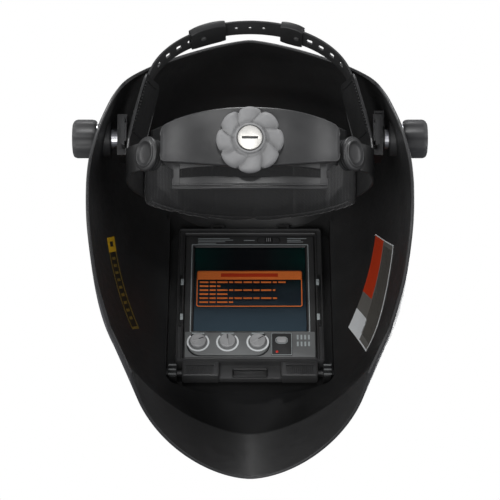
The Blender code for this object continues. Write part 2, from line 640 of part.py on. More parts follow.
def build_side_knob(side, s):
    length = SIDE_KNOB_OUT - SIDE_KNOB_IN
    levels = ((0, 0.9), (1.6, 1), (length - 2.6, 0.97), (length, 0.84))
    outline = circle(SIDE_KNOB_R, 48, LOBES, LOBE_DEPTH)
    body = along_x(outline, [(s * x, k) for x, k in levels])
    knob = add("side_knob_" + side, body, "knob_plastic", BAND, (s * SIDE_KNOB_IN, 0, 0), smooth=True)
    bore = rod_x(PIVOT_R + BORE_GROW, s * -2, s * 16.6)
    cut(knob, "knob_bore", bore, BAND, (s * SIDE_KNOB_IN, 0, 0))


# ---- headband ----


def front_point(angle, offset):
    """Point of the head outline's front half, moved out by offset; 0 is the right side, 90 the front."""
    a = math.radians(angle)
    normal = Vector((math.cos(a) / HEAD_A, math.sin(a) / HEAD_FRONT))
    normal.normalize()
    return (HEAD_A * math.cos(a) + offset * normal.x, HEAD_Y + HEAD_FRONT * math.sin(a) + offset * normal.y)


def band_point(angle, offset):
    """The front outline carried on into the tails, which draw in toward the swivel studs."""
    if 0 <= angle <= 180:
        return front_point(angle, offset)
    a = math.radians(angle)
    return ((HEAD_A + offset) * math.cos(a), HEAD_Y + (TAIL_B + offset - BAND_OFFSET) * math.sin(a))


def rear_point(angle, a, b):
    """Point of a squared-off rear outline; 0 is the right side and 90 the back of the head."""
    r = math.radians(angle)
    x = math.copysign(abs(math.cos(r)) ** (2 / REAR_POWER), math.cos(r)) * a
    return (x, HEAD_Y - b * abs(math.sin(r)) ** (2 / REAR_POWER))


def riser_height(angle):
    if angle > 90:
        angle = 180 - angle
    if RISER_FROM <= angle <= RISER_TO:
        return RISER_TOP
    if angle < 0:
        return TAIL_TOP
    return BAND_TOP


def band_bottom(angle):
    if angle > 90:
        angle = 180 - angle
    return BAND_BOTTOM if angle > 0 else BAND_BOTTOM + min(4, -angle / 4)


def build_headband():
    half = [-32, -28, -24, -18, -10, -3, 0.5, RISER_FROM - 0.8, RISER_FROM, 10, 15, 20]
    half += [RISER_TO, RISER_TO + 0.8, 32, 40, 48, 56, 64, 72, 80]
    angles = half + [90] + [180 - a for a in reversed(half)]
    sections = []
    for angle in angles:
        low, high = band_bottom(angle), riser_height(angle)
        middle = min(0, high - 6)
        section = []
        near, far = BAND_OFFSET, BAND_OFFSET + BAND_THICK
        for offset, heights in ((near, (low, middle, high)), (far, (high, middle, low))):
            for z in heights:
                x, y = band_point(angle, offset)
                lean = RISER_LEAN * max(z, 0)
                section.append((x - math.copysign(lean, x), y, z))
        sections.append(section)
    band = add("headband", loft(sections), "gear_plastic", BAND, smooth=True)
    for s in (-1, 1):
        stud_disc(band, "band_tab", s, STUD_TAB_R, *BAND_TAB, "UNION")
        stud_disc(band, "band_hole", s, STUD_SHAFT_R + 0.4, 0, -12, "DIFFERENCE")


def stud_frame(s):
    """Frame at a swivel stud whose x axis points out along the stud."""
    turn = Matrix.Rotation(math.radians(-(90 - STUD_ANGLE)), 4, "Z")
    if s < 0:
        turn = Matrix.Rotation(math.radians(180 + 90 - STUD_ANGLE), 4, "Z")
    x, y, z = STUD
    return BAND @ Matrix.Translation(Vector((s * x, y, z)) * MM) @ turn


def stud_disc(obj, name, s, radius, x0, x1, operation):
    made = add(name + operation[0], rod_x(radius, x1, x0), None, stud_frame(s), cutter=True)
    boolean(obj, made, operation)


def build_studs():
    for side, s in (("left", -1), ("right", 1)):
        levels = ((-4.2, 0.96), (-3.2, 1), (-1.2, 1), (0, 0.82), (-1.6, 0.56), (-1.9, 0.3))
        disc = along_x(circle(STUD_R, 28), levels)
        stud = add("swivel_stud_" + side, disc, "gear_plastic", stud_frame(s), smooth=True)
        join(stud, "stud_shaft", rod_x(STUD_SHAFT_R, -12, -3, 20), stud_frame(s))
        join(stud, "stud_head", rod_x(STUD_HEAD_R, -13.0, -11.5, 20), stud_frame(s))


def build_sweatband():
    middle = (PAD_IN + PAD_OUT) / 2 + 0.15
    sections = []
    for angle in np.linspace(PAD_FROM, PAD_TO, 25):
        low, high = PAD_LOW, 5 * math.sin(math.radians(angle)) ** 4
        edge = 1 if PAD_FROM < angle < PAD_TO else 0.6
        section = []
        for offset, z in (
            (PAD_IN, low + 4), (1.5, low + 1), (4.6, low + 1), (PAD_OUT, low + 4),
            (PAD_OUT, high - 4), (4.6, high - 1), (1.5, high - 1), (PAD_IN, high - 4),
        ):
            x, y = front_point(angle, middle + (offset - middle) * edge)
            section.append((x, y, z))
        sections.append(section)
    add("sweatband", loft(sections), "foam_fabric", BAND, smooth=True)


def build_side_plates():
    """Rails the slide blocks run on, with a stop at each end."""
    web_half = RAIL_HALF - 1
    for side, s in (("left", -1), ("right", 1)):
        plate = box(s * PLATE_IN, s * PLATE_OUT, -RAIL_HALF, RAIL_HALF, -PLATE_HALF_H, PLATE_HALF_H)
        plate = add("side_plate_" + side, plate, "gear_plastic", BAND)
        join(plate, "plate_web", box(s * 97.1, s * 99.4, -web_half, web_half, -7.2, 7.2), BAND)
        stops = [box(s * 98.7, s * 101.8, e * web_half, e * RAIL_HALF, -10, 10) for e in (-1, 1)]
        join(plate, "plate_stops", merged(stops), BAND)


# ---- crown straps ----


def crown_point(x):
    """Middle line of the rear crown strap in world axes, and the way out from the head there."""
    rise = math.sqrt(max(0.0, 1 - (x / CROWN_A) ** 2))
    point = Vector((x, -5 - 5 * rise, CROWN_Z + CROWN_H * rise))
    normal = Vector((x / CROWN_A**2, 0, (point.z - CROWN_Z) / CROWN_H**2)).normalized()
    return point, normal


def crown_stations(x0, x1, count):
    """x values spaced evenly in angle round the arch."""
    a0, a1 = math.acos(x0 / CROWN_A), math.acos(x1 / CROWN_A)
    return [CROWN_A * math.cos(a0 + (a1 - a0) * i / count) for i in range(count + 1)]


def ribbon(frames, width, across, lift, thick):
    """Strap through (point, normal) frames, with its width along `across`."""
    sections = []
    for point, normal in frames:
        low = point + normal * lift
        high = point + normal * (lift + thick)
        side = across * width / 2
        sections.append([tuple(low - side), tuple(low + side), tuple(high + side), tuple(high - side)])
    return loft(sections)


def hole_row(xs, size, lift):
    """Square or round through-cutters placed on the arch."""
    cutters = []
    for x in xs:
        point, normal = crown_point(x)
        tangent = ACROSS.cross(normal).normalized()
        sections = []
        for h in (-6, 6):
            ring = [(1, 1), (-1, 1), (-1, -1), (1, -1)] if size > 3 else circle(1, 12)
            middle = point + normal * (h + lift)
            sections.append([tuple(middle + tangent * u * size / 2 + ACROSS * v * size / 2) for u, v in ring])
        cutters.append(loft(sections))
    return merged(cutters)


def build_crown():
    for side, s, end in (("left", -1, CROWN_ENDS[0]), ("right", 1, CROWN_ENDS[1])):
        frames = [crown_point(x) for x in crown_stations(s * CROWN_FOOT, s * end, 15)]
        body = ribbon(frames, CROWN_W, ACROSS, -STRAP_THICK / 2, STRAP_THICK)
        strap = add("crown_strap_" + side, body, "strap_plastic", smooth=True)
        cut(strap, "crown_holes", hole_row([s * x for x in CROWN_HOLES], CROWN_HOLE, 0))
        build_keeper(side, s * KEEPER_X)
    frames = [crown_point(x) for x in crown_stations(-46, 43, 14)]
    body = ribbon(frames, CROWN_W - 1, ACROSS, CENTRE_LIFT, STRAP_THICK)
    centre = add("crown_strap_centre", body, "strap_plastic", smooth=True)
    cut(centre, "centre_holes", hole_row(CENTRE_HOLES, CENTRE_HOLE, CENTRE_LIFT + 0.7))
    for side, s in (("left", -1), ("right", 1)):
        build_brow_strap(side, s)


def build_keeper(side, x):
    """Loop that holds the two overlapping straps together."""
    frames = [crown_point(x + d) for d in (-KEEPER_HALF, 0, KEEPER_HALF)]
    body = ribbon(frames, CROWN_W + 4.2, ACROSS, -2.3, 6.0)
    keeper = add("strap_keeper_" + side, body, "gear_plastic")
    frames = [crown_point(x + d) for d in (-KEEPER_HALF - 4, 0, KEEPER_HALF + 4)]
    cut(keeper, "keeper_slot", ribbon(frames, CROWN_W + 0.8, ACROSS, -1.1, 4.0))


def brow_rise(x):
    """Height of the brow arch at x, as a share of its rise."""
    return max(0.0, 1 - (abs(x) / BROW_A) ** BROW_POWER) ** (1 / BROW_POWER)


def brow_point(x, step=0.5):
    """Middle line of the brow strap and the way out from the head there."""
    rise = brow_rise(x)
    point = Vector((x, BROW_FOOT[0] + BROW_RISE[0] * rise, BROW_FOOT[1] + BROW_RISE[1] * rise))
    slope = (brow_rise(abs(x) + step) - rise) * Vector(BROW_RISE).length / step
    normal = (FRONT_AHEAD + Vector((math.copysign(-slope, x), 0, 0))).normalized()
    return point, normal


def build_brow_strap(side, s):
    lift = 0 if s < 0 else -STRAP_THICK - GAP
    body = ribbon([brow_point(s * x) for x in BROW_XS], BROW_W, FRONT_ACROSS, lift, STRAP_THICK)
    strap = add("brow_strap_" + side, body, "strap_plastic", smooth=True)
    frames = [brow_point(s * CLIP_X + d) for d in (-CLIP_HALF, 0, CLIP_HALF)]
    join(strap, "brow_clip", ribbon(frames, CLIP_W, FRONT_ACROSS, lift + 1, 3.0))


# ---- rear cradle and ratchet ----


def cradle_heights(angle):
    """Bottom and top of the cradle base; it narrows to the arms near the studs."""
    reach = min(angle, 180 - angle)
    full = min(1.0, max(0.0, (reach - 30) / 14))
    return (-37 + (-44 + 37) * full, -17 + (-4 + 17) * full)


def rear_strip(angles, inner, outer, heights):
    sections = []
    for angle in angles:
        low, high = heights(angle)
        near = rear_point(angle, *inner)
        far = rear_point(angle, *outer)
        sections.append([(*near, low), (*far, low), (*far, high), (*near, high)])
    return loft(sections)


def build_cradle():
    inner = (CRADLE_A, CRADLE_B)
    outer = (CRADLE_A + CRADLE_THICK, CRADLE_B + CRADLE_THICK)
    x, y, z = STUD
    at = (0, y, z)

    def moved(bm):
        bmesh.ops.translate(bm, vec=(0, -y, -z), verts=bm.verts)
        return bm

    strip = rear_strip(np.linspace(CRADLE_FROM, CRADLE_TO, 31), inner, outer, cradle_heights)
    cradle = add("cradle_base", moved(strip), "gear_plastic", BAND, at, smooth=True)
    inner = (CRADLE_A - 0.5, CRADLE_B - 0.5)
    outer = (CRADLE_A + NAPE_GROW, CRADLE_B + NAPE_GROW)
    bar = rear_strip(np.linspace(NAPE_FROM, NAPE_TO, 25), inner, outer, nape_heights)
    join(cradle, "nape_bar", moved(bar), BAND, at)
    inner = (CRADLE_A - 0.2, CRADLE_B - 0.2)
    outer = (CRADLE_A + 2.3, CRADLE_B + 2.3)
    for start in POST_STARTS:
        angles = (start, start + POST_SPAN / 2, start + POST_SPAN)
        post = rear_strip(angles, inner, outer, lambda angle: (-57, -40))
        join(cradle, "nape_post", moved(post), BAND, at)
    for s in (-1, 1):
        stud_disc(cradle, "arm_tab", s, STUD_TAB_R, *ARM_TAB, "UNION")
        stud_disc(cradle, "arm_hole", s, STUD_SHAFT_R + 0.8, 0, -14, "DIFFERENCE")
    build_cover(at, moved)
    angles = np.linspace(CUSHION_FROM, CUSHION_TO, 23)
    pad = rear_strip(angles, CUSHION_IN, CUSHION_OUT, lambda angle: CUSHION_Z)
    add("nape_pad", moved(pad), "foam_fabric", BAND, at, smooth=True)


def nape_heights(angle):
    """The lower bar dips toward the middle."""
    dip = math.sin(math.radians((min(angle, 180 - angle) - NAPE_FROM) / (90 - NAPE_FROM) * 90))
    return (-58 - 4 * dip, -49 - 3 * dip)


def build_cover(at, moved):
    """Channel over the ratchet: its flanges stop just short of the cradle base."""
    sections = []
    for angle in np.linspace(COVER_FROM, COVER_TO, 29):
        x = abs(rear_point(angle, COVER_A, COVER_B)[0])
        half = CRADLE_HALF_H - 8 * (x / 64) ** 2
        low, high = CRADLE_Z - half, CRADLE_Z + half
        inside = Vector(rear_point(angle, COVER_A, COVER_B))
        outside = Vector(rear_point(angle, COVER_A + COVER_THICK, COVER_B + COVER_THICK))
        reach = CRADLE_THICK + 0.4
        base = Vector(rear_point(angle, CRADLE_A + reach, CRADLE_B + reach))
        wall = COVER_THICK
        sections.append([
            (*outside, low), (*outside, high), (*base, high), (*base, high - wall),
            (*inside, high - wall), (*inside, low + wall), (*base, low + wall), (*base, low),
        ])
    cover = add("cradle_cover", moved(loft(sections)), "gear_plastic", BAND, at, smooth=True)
    hole = rod_y(3.2, -120, -90, 20)
    bmesh.ops.translate(hole, vec=(0, 0, KNOB_Z), verts=hole.verts)
    cut(cover, "shaft_hole", moved(hole), BAND, at)


def gear_outline(teeth, tip, root, thick):
    """Straight-sided teeth with wide gaps; thick is the tooth width at the tip."""
    points = []
    for i in range(teeth):
        middle = 2 * math.pi * i / teeth
        for r, half in ((root, thick * 1.25), (tip, thick * 0.5), (tip, -thick * 0.5), (root, -thick * 1.25)):
            a = middle - half / r
            points.append((r * math.cos(a), r * math.sin(a)))
    return points


def rack_outline(x0, x1, sign):
    """Toothed strip whose pitch line is PITCH_R above or below the pinion, with a gap at x = 0."""
    pitch = math.pi * MODULE
    points = []
    first = math.ceil((x0 + 1.2) / pitch - 0.5)
    last = math.floor((x1 - 1.2) / pitch - 0.5)
    for i in range(first, last + 1):
        middle = (i + 0.5) * pitch
        for dx, z in ((-0.95, 7.1), (-0.32, 5.2), (0.32, 5.2), (0.95, 7.1)):
            points.append((middle + dx, z))
    outline = [(x0, 7.1)] + points + [(x1, 7.1), (x1, 12.4), (x0, 12.4)]
    return [(x, z * sign) for x, z in outline]


def build_ratchet():
    at = (0, 0, KNOB_Z)
    disc = rod_y(DETENT_R, DETENT_IN, DETENT_OUT, 48)
    ring = add("detent_ring", disc, "gear_plastic", BAND, at)
    teeth = gear_outline(DETENT_TEETH, 12.7, 13.5, 0.5)
    cut(ring, "ring_teeth", along_y(teeth, ((-110, 1), (-100, 1))), BAND, at)

    gear = along_y(gear_outline(PINION_TEETH, 6.7, 4.8, 0.8), ((RACK_Y0, 1), (RACK_Y1, 1)))
    pinion = add("pinion", gear, "knob_plastic", BAND, at)
    join(pinion, "pinion_shaft", rod_y(2.5, -115, -101, 20), BAND, at)
    pawl = [(x * 12.1, z * 4.2) for x, z in circle(1, 20)]
    join(pinion, "pawl", along_y(pawl, ((-105.3, 1), (-103.2, 1))), BAND, at)

    for name, x0, x1, sign in (("rack_left", -22, 17, 1), ("rack_right", -17, 22, -1)):
        strip = along_y(rack_outline(x0, x1, sign), ((RACK_Y0, 1), (RACK_Y1, 1)))
        add(name, strip, "knob_plastic", BAND, at)

    outline = circle(RATCHET_R, 64, LOBES, LOBE_DEPTH + 0.05)
    levels = ((RATCHET_IN, 0.92), (RATCHET_IN - 1.5, 1), (RATCHET_OUT + 3, 0.99), (RATCHET_OUT, 0.86))
    knob = add("ratchet_knob", along_y(outline, levels), "knob_plastic", BAND, at, smooth=True)
    cut(knob, "knob_shaft_hole", rod_y(2.8, -115.4, -100, 20), BAND, at)
    disc = along_y(circle(CAP_R, 32), ((CAP_IN, 1), (CAP_OUT + 0.5, 1), (CAP_OUT, 0.93)))
    cap = add("ratchet_cap", disc, "steel", BAND, at)
    cut(cap, "cap_slot", box(-6, 6, -124, -122.1, -0.9, 0.9), BAND, at)


def main():
    build_shell()
    add("wall_label_left", wall_patch(LABEL_LEFT, LABEL_LIFT, LABEL_THICK), "label_film")
    add("wall_label_right", wall_patch(LABEL_RIGHT, LABEL_LIFT, LABEL_THICK), "label_film")
    build_cover_lens()
    build_holder()
    build_latches()
    build_cartridge()
    build_filter_stack()
    build_controls()
    build_pivots()
    build_headband()
    build_studs()
    build_sweatband()
    build_side_plates()
    build_crown()
    build_cradle()
    build_ratchet()


clear_scene()
PARTS = collection("welding_helmet")
CUTTERS = collection("cutters", hidden=True)
main()
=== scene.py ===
"""Looks of the welding helmet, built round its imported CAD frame.

Shapes are drawn in millimetres from the middle of the pivot axis, +X to the wearer's right, +Y ahead
and +Z up, and become metres in the row frame as each mesh is made.
"""

import math

import bmesh
import bpy
import numpy as np
from mathutils import Matrix, Vector


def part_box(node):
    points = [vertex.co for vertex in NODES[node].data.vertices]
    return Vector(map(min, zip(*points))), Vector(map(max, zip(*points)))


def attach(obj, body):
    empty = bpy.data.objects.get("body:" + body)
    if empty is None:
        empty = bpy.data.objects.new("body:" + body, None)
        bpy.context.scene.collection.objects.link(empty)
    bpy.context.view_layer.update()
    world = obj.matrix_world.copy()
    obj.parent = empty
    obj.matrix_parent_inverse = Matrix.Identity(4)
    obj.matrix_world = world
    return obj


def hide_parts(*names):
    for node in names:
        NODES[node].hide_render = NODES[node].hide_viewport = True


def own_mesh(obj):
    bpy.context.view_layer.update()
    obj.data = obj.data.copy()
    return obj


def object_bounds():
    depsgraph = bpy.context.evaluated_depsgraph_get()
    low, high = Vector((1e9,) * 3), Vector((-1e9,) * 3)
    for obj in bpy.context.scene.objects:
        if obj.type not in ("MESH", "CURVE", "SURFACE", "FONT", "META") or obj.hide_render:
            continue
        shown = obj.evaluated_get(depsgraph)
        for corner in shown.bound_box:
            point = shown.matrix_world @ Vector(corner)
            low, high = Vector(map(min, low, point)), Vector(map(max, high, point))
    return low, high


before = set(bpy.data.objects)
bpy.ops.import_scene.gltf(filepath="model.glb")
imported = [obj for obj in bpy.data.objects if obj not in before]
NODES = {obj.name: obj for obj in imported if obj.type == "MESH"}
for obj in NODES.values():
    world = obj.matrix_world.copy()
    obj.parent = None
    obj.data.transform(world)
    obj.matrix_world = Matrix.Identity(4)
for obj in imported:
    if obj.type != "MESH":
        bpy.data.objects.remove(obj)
CAD_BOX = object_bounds()
MM = 0.001
BOLT_LOW, BOLT_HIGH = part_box("pivot_bolt_left")
PIVOT = Vector((0, (BOLT_LOW.y + BOLT_HIGH.y) / 2, (BOLT_LOW.z + BOLT_HIGH.z) / 2))

# Shell stations: (side y, side z, half width, front y, front z, roundness), from the brow to the chin.
STATIONS = (
    (-17, 42, 101, 35, 112, 1.33),
    (-24, 34, 104, 78, 117, 1.6),
    (-32, 21, 108.8, 125, 107, 1.9),
    (-39, 6, 113.2, 168, 79, 2.2),
    (-44, -8, 117, 195, 44, 2.5),
    (-48, -24, 120.5, 209, 5, 2.8),
    (-50, -44, 123.8, 198, -45, 3.0),
    (-48, -68, 125, 187, -91, 3.0),
    (-38, -97, 123.8, 176.5, -137, 2.8),
    (-12, -128, 119, 172, -166, 2.3),
    (16, -155, 110, 168, -194, 1.65),
    (44, -183, 93, 132, -242, 1.75),
)
CREASE = 10
WALL = 2.6
HEAD_Y, HEAD_A, HEAD_FRONT = -30, 88, 120
BAND_OFFSET, BAND_THICK = 6.8, 2.0
TAIL_B = 48.5
CROWN_A, CROWN_Z, CROWN_H = 83.0, 39, 56.0
BROW_A = 83.5
STUD, STUD_ANGLE = (81, -66, -27), 50
KNOB_Z = -28
VIEW_Z = 8.5
STRIP_Z = -51
LATCH_Y, LATCH_Z = 5, -77
ACROSS = Vector((0, 0.99, -0.14))
FRONT_ACROSS = Vector((0, 0.68, -0.73))


def turned(angle, origin=(0, 0, 0)):
    return Matrix.Translation(PIVOT + Vector(origin) * MM) @ Matrix.Rotation(math.radians(angle), 4, "X")


WORLD = turned(0)
BAND = turned(14)
WINDOW = turned(-13.3, (0, 174, -63.3))
HEAD_CENTRE = (0, 60, -60)  # a point well inside the shell
BROW_PITCH, CHIN_PITCH = 42, 62  # surface length of one station step at each rim
LAST_STATION = 11
RISER_LEAN = 0.27  # inward lean of the risers over the ears
BROW_POWER = 1.35
SWITCH_AT = (16.5, 0, 60.8)
BUTTON_X, BUTTON_Z = 27, -47.3
CAMERA_TILT, CAMERA_LENS, CAMERA_SENSOR = 24, 135.9, 36
CAMERA_BACK, CAMERA_DROP = 1.507, 0.0887


# ---- materials ----


def grey(value, tint=(1, 1, 1)):
    """Linear colour of an 8-bit grey."""
    v = value / 255
    v = v / 12.92 if v <= 0.04045 else ((v + 0.055) / 1.055) ** 2.4
    return (v * tint[0], v * tint[1], v * tint[2], 1)


class Look:
    """A node material round one Principled shader, with its textures in object metres.

    It starts a new material, or adds nodes to the one that is given.
    """

    def __init__(self, name, material=None):
        self.material = material or bpy.data.materials.new(name)
        self.material.use_nodes = True
        self.tree = self.material.node_tree
        self.shader = self.tree.nodes["Principled BSDF"]
        source = self.tree.nodes.get("Texture Coordinate") or self.node("ShaderNodeTexCoord")
        self.place = source.outputs["Object"]
        self.generated = source.outputs["Generated"]

    def node(self, kind, **settings):
        made = self.tree.nodes.new(kind)
        for key, value in settings.items():
            setattr(made, key, value)
        return made

    def put(self, socket, value):
        if isinstance(value, bpy.types.NodeSocket):
            self.tree.links.new(value, socket)
        else:
            socket.default_value = value

    def stretched(self, scale):
        mapping = self.node("ShaderNodeMapping")
        self.put(mapping.inputs["Vector"], self.place)
        mapping.inputs["Scale"].default_value = scale
        return mapping.outputs["Vector"]

    def noise(self, scale, detail=4, rough=0.5, stretch=None):
        made = self.node("ShaderNodeTexNoise")
        self.put(made.inputs["Vector"], self.stretched(stretch) if stretch else self.place)
        self.put(made.inputs["Scale"], scale)
        self.put(made.inputs["Detail"], detail)
        self.put(made.inputs["Roughness"], rough)
        return made.outputs["Fac"]

    def cells(self, scale):
        made = self.node("ShaderNodeTexVoronoi")
        self.put(made.inputs["Vector"], self.place)
        self.put(made.inputs["Scale"], scale)
        return made.outputs["Distance"]

    def wave(self, scale, direction, distort=0.0):
        made = self.node("ShaderNodeTexWave", bands_direction=direction)
        self.put(made.inputs["Vector"], self.place)
        self.put(made.inputs["Scale"], scale)
        self.put(made.inputs["Distortion"], distort)
        return made.outputs["Fac"]

    def span(self, value, low, high, a=0.0, b=1.0):
        made = self.node("ShaderNodeMapRange")
        self.put(made.inputs[0], value)
        for i, number in enumerate((low, high, a, b)):
            self.put(made.inputs[i + 1], number)
        return made.outputs[0]

    def math(self, operation, a, b=0.0):
        made = self.node("ShaderNodeMath", operation=operation)
        self.put(made.inputs[0], a)
        self.put(made.inputs[1], b)
        return made.outputs[0]

    def mix(self, factor, a, b):
        made = self.node("ShaderNodeMix", data_type="RGBA")
        self.put(made.inputs[0], factor)
        self.put(made.inputs[6], a)
        self.put(made.inputs[7], b)
        return made.outputs[2]

    def bump(self, height, distance, under=None):
        made = self.node("ShaderNodeBump")
        self.put(made.inputs["Height"], height)
        self.put(made.inputs["Distance"], distance)
        if under is not None:
            self.put(made.inputs["Normal"], under)
        return made.outputs["Normal"]

    def set(self, **values):
        for key, value in values.items():
            self.put(self.shader.inputs[key.replace("_", " ")], value)
        return self.material


def moulded(name, dark, light, rough=(0.4, 0.55), grain=1500, depth=0.00005, patch=25, specular=0.5):
    """Moulded plastic: fine grain, slow colour drift, handling marks in the roughness and a little dust."""
    look = Look(name)
    drift = look.span(look.noise(patch, 5, 0.6), 0.35, 0.65)
    colour = look.mix(drift, dark, light)
    dust = look.span(look.noise(420, 6, 0.75), 0.62, 0.8, 0, 0.35)
    colour = look.mix(dust, colour, tuple(min(1, c * 2.2 + 0.004) for c in light[:3]) + (1,))
    marks = look.noise(70, 6, 0.7, (1, 1, 2.5))
    roughness = look.span(marks, 0.3, 0.7, *rough)
    fine = look.bump(look.cells(grain), depth)
    relief = look.bump(look.noise(grain / 4, 3), depth, fine)
    return look.set(Base_Color=colour, Roughness=roughness, Normal=relief, Specular_IOR_Level=specular)


def shell_look(name, dark, light):
    """Moulded shell: satin outside; inside, just above the chin's crease and near the middle, shade is
    painted into the colour, fading out upwards.
    """
    look = Look(name, moulded(name, dark, light, (0.36, 0.5), 2600, 0.00004, 14))
    split = look.node("ShaderNodeSeparateXYZ")
    look.put(split.inputs[0], look.place)
    front, side = STATIONS[CREASE][3:5], STATIONS[CREASE][:2]
    slope = (side[1] - front[1]) / (front[0] - side[0])
    level = PIVOT.z + PIVOT.y * slope + (side[1] + side[0] * slope) * MM
    sloped = look.math("MULTIPLY", split.outputs[1], slope)
    rise = look.math("SUBTRACT", look.math("ADD", split.outputs[2], sloped), level)
    lower = look.span(rise, 0.0, 0.002)
    upper = look.span(rise, 0.02, 0.19, 1, 0)
    middle = look.span(look.math("ABSOLUTE", split.outputs[0]), 0.045, 0.105, 1, 0)
    inward = look.node("ShaderNodeVectorMath", operation="SUBTRACT")
    look.put(inward.inputs[0], look.place)
    inward.inputs[1].default_value = PIVOT + Vector(HEAD_CENTRE) * MM
    facing = look.node("ShaderNodeVectorMath", operation="DOT_PRODUCT")
    look.put(facing.inputs[0], inward.outputs[0])
    look.put(facing.inputs[1], look.node("ShaderNodeNewGeometry").outputs["True Normal"])
    inside = look.math("LESS_THAN", facing.outputs["Value"], 0.0)
    # Painted shade: inside the shell, near the middle and just above the chin's crease, the colour is mixed
    # towards near-black and the specular level lowered, fading out upwards.
    painted_shade = look.math("MULTIPLY", look.math("MULTIPLY", lower, upper), look.math("MULTIPLY", middle, inside))
    colour = look.shader.inputs["Base Color"].links[0].from_socket
    look.set(Base_Color=look.mix(look.math("MULTIPLY", painted_shade, 0.75), colour, grey(12)))
    look.set(Specular_IOR_Level=look.span(painted_shade, 0, 1, 0.5, 0.12))
    return look.material


def woven(name, dark, light, pitch=0.0011):
    """Knitted cover cloth over foam."""
    look = Look(name)
    scale = 0.314 / pitch
    warp = look.wave(scale, "X", 0.4)
    weft = look.wave(scale, "Z", 0.4)
    knit = look.math("MULTIPLY", warp, weft)
    fibres = look.noise(2600, 4, 0.7)
    tone = look.math("ADD", look.math("MULTIPLY", knit, 0.6), look.math("MULTIPLY", fibres, 0.4))
    soil = look.span(look.noise(30, 4), 0.35, 0.7)
    colour = look.mix(tone, dark, light)
    colour = look.mix(look.math("MULTIPLY", soil, 0.35), colour, dark)
    relief = look.bump(knit, 0.0002, look.bump(fibres, 0.0001))
    return look.set(Base_Color=colour, Roughness=0.9, Normal=relief, Sheen_Weight=0.35, Sheen_Roughness=0.4)


def brushed(name, dark, light, stretch=(1, 12, 12), rough=(0.22, 0.4)):
    look = Look(name)
    streaks = look.noise(260, 5, 0.65, stretch)
    colour = look.mix(look.span(streaks, 0.3, 0.7), dark, light)
    roughness = look.span(look.noise(90, 4), 0.3, 0.7, *rough)
    relief = look.bump(streaks, 0.00004)
    return look.set(Base_Color=colour, Roughness=roughness, Metallic=1.0, Normal=relief)


def clear_sheet(name, tint):
    """Thin clear polycarbonate: mostly see-through with a sharp reflection and faint scuffs."""
    look = Look(name)
    scuffs = look.span(look.noise(500, 6, 0.8, (1, 3, 1)), 0.6, 0.85, 0.03, 0.09)
    look.set(Base_Color=(0.0, 0.0, 0.0, 1), Roughness=scuffs)
    through = look.node("ShaderNodeBsdfTransparent")
    through.inputs[0].default_value = tint
    edge = look.node("ShaderNodeFresnel")
    edge.inputs["IOR"].default_value = 1.45
    blend = look.node("ShaderNodeMixShader")
    look.put(blend.inputs[0], look.math("ADD", edge.outputs[0], 0.02))
    look.put(blend.inputs[1], through.outputs[0])
    look.put(blend.inputs[2], look.shader.outputs[0])
    look.put(look.tree.nodes["Material Output"].inputs["Surface"], blend.outputs[0])
    return look.material


def filter_glass(name):
    """Coated filter: slate blue, with a green sheen painted into the colour near the upper corners as a
    reflection.
    """
    look = Look(name)
    split = look.node("ShaderNodeSeparateXYZ")
    look.put(split.inputs[0], look.generated)
    side = look.math("ABSOLUTE", look.math("SUBTRACT", split.outputs[0], 0.5))
    corner = look.math("MULTIPLY", look.span(side, 0.12, 0.42), look.span(split.outputs[2], 0.45, 0.85))
    low = look.span(split.outputs[2], 0.05, 0.75)
    base = look.mix(low, (0.1, 0.14, 0.18, 1), (0.03, 0.033, 0.04, 1))
    cloud = look.span(look.noise(45, 3), 0.35, 0.7, 0.6, 1)
    # Painted reflection: a green sheen mixed into the base colour near the upper corners.
    base = look.mix(look.math("MULTIPLY", corner, cloud), base, (0.012, 0.1, 0.088, 1))
    smear = look.span(look.noise(60, 5, 0.7), 0.35, 0.7, 0.06, 0.16)
    return look.set(Base_Color=base, Roughness=smear, Specular_IOR_Level=0.35)


def printed(name, colour, fade=0.82):
    """Printed film: ink that varies a little, on a satin surface."""
    look = Look(name)
    worn = tuple(c * fade for c in colour[:3]) + (1,)
    ink = look.mix(look.span(look.noise(900, 5, 0.7), 0.35, 0.7), colour, worn)
    ink = look.mix(look.span(look.noise(60, 3), 0.3, 0.75, 0, 0.5), ink, worn)
    relief = look.bump(look.noise(1800, 3), 0.00002)
    return look.set(Base_Color=ink, Roughness=0.5, Normal=relief, Specular_IOR_Level=0.3)


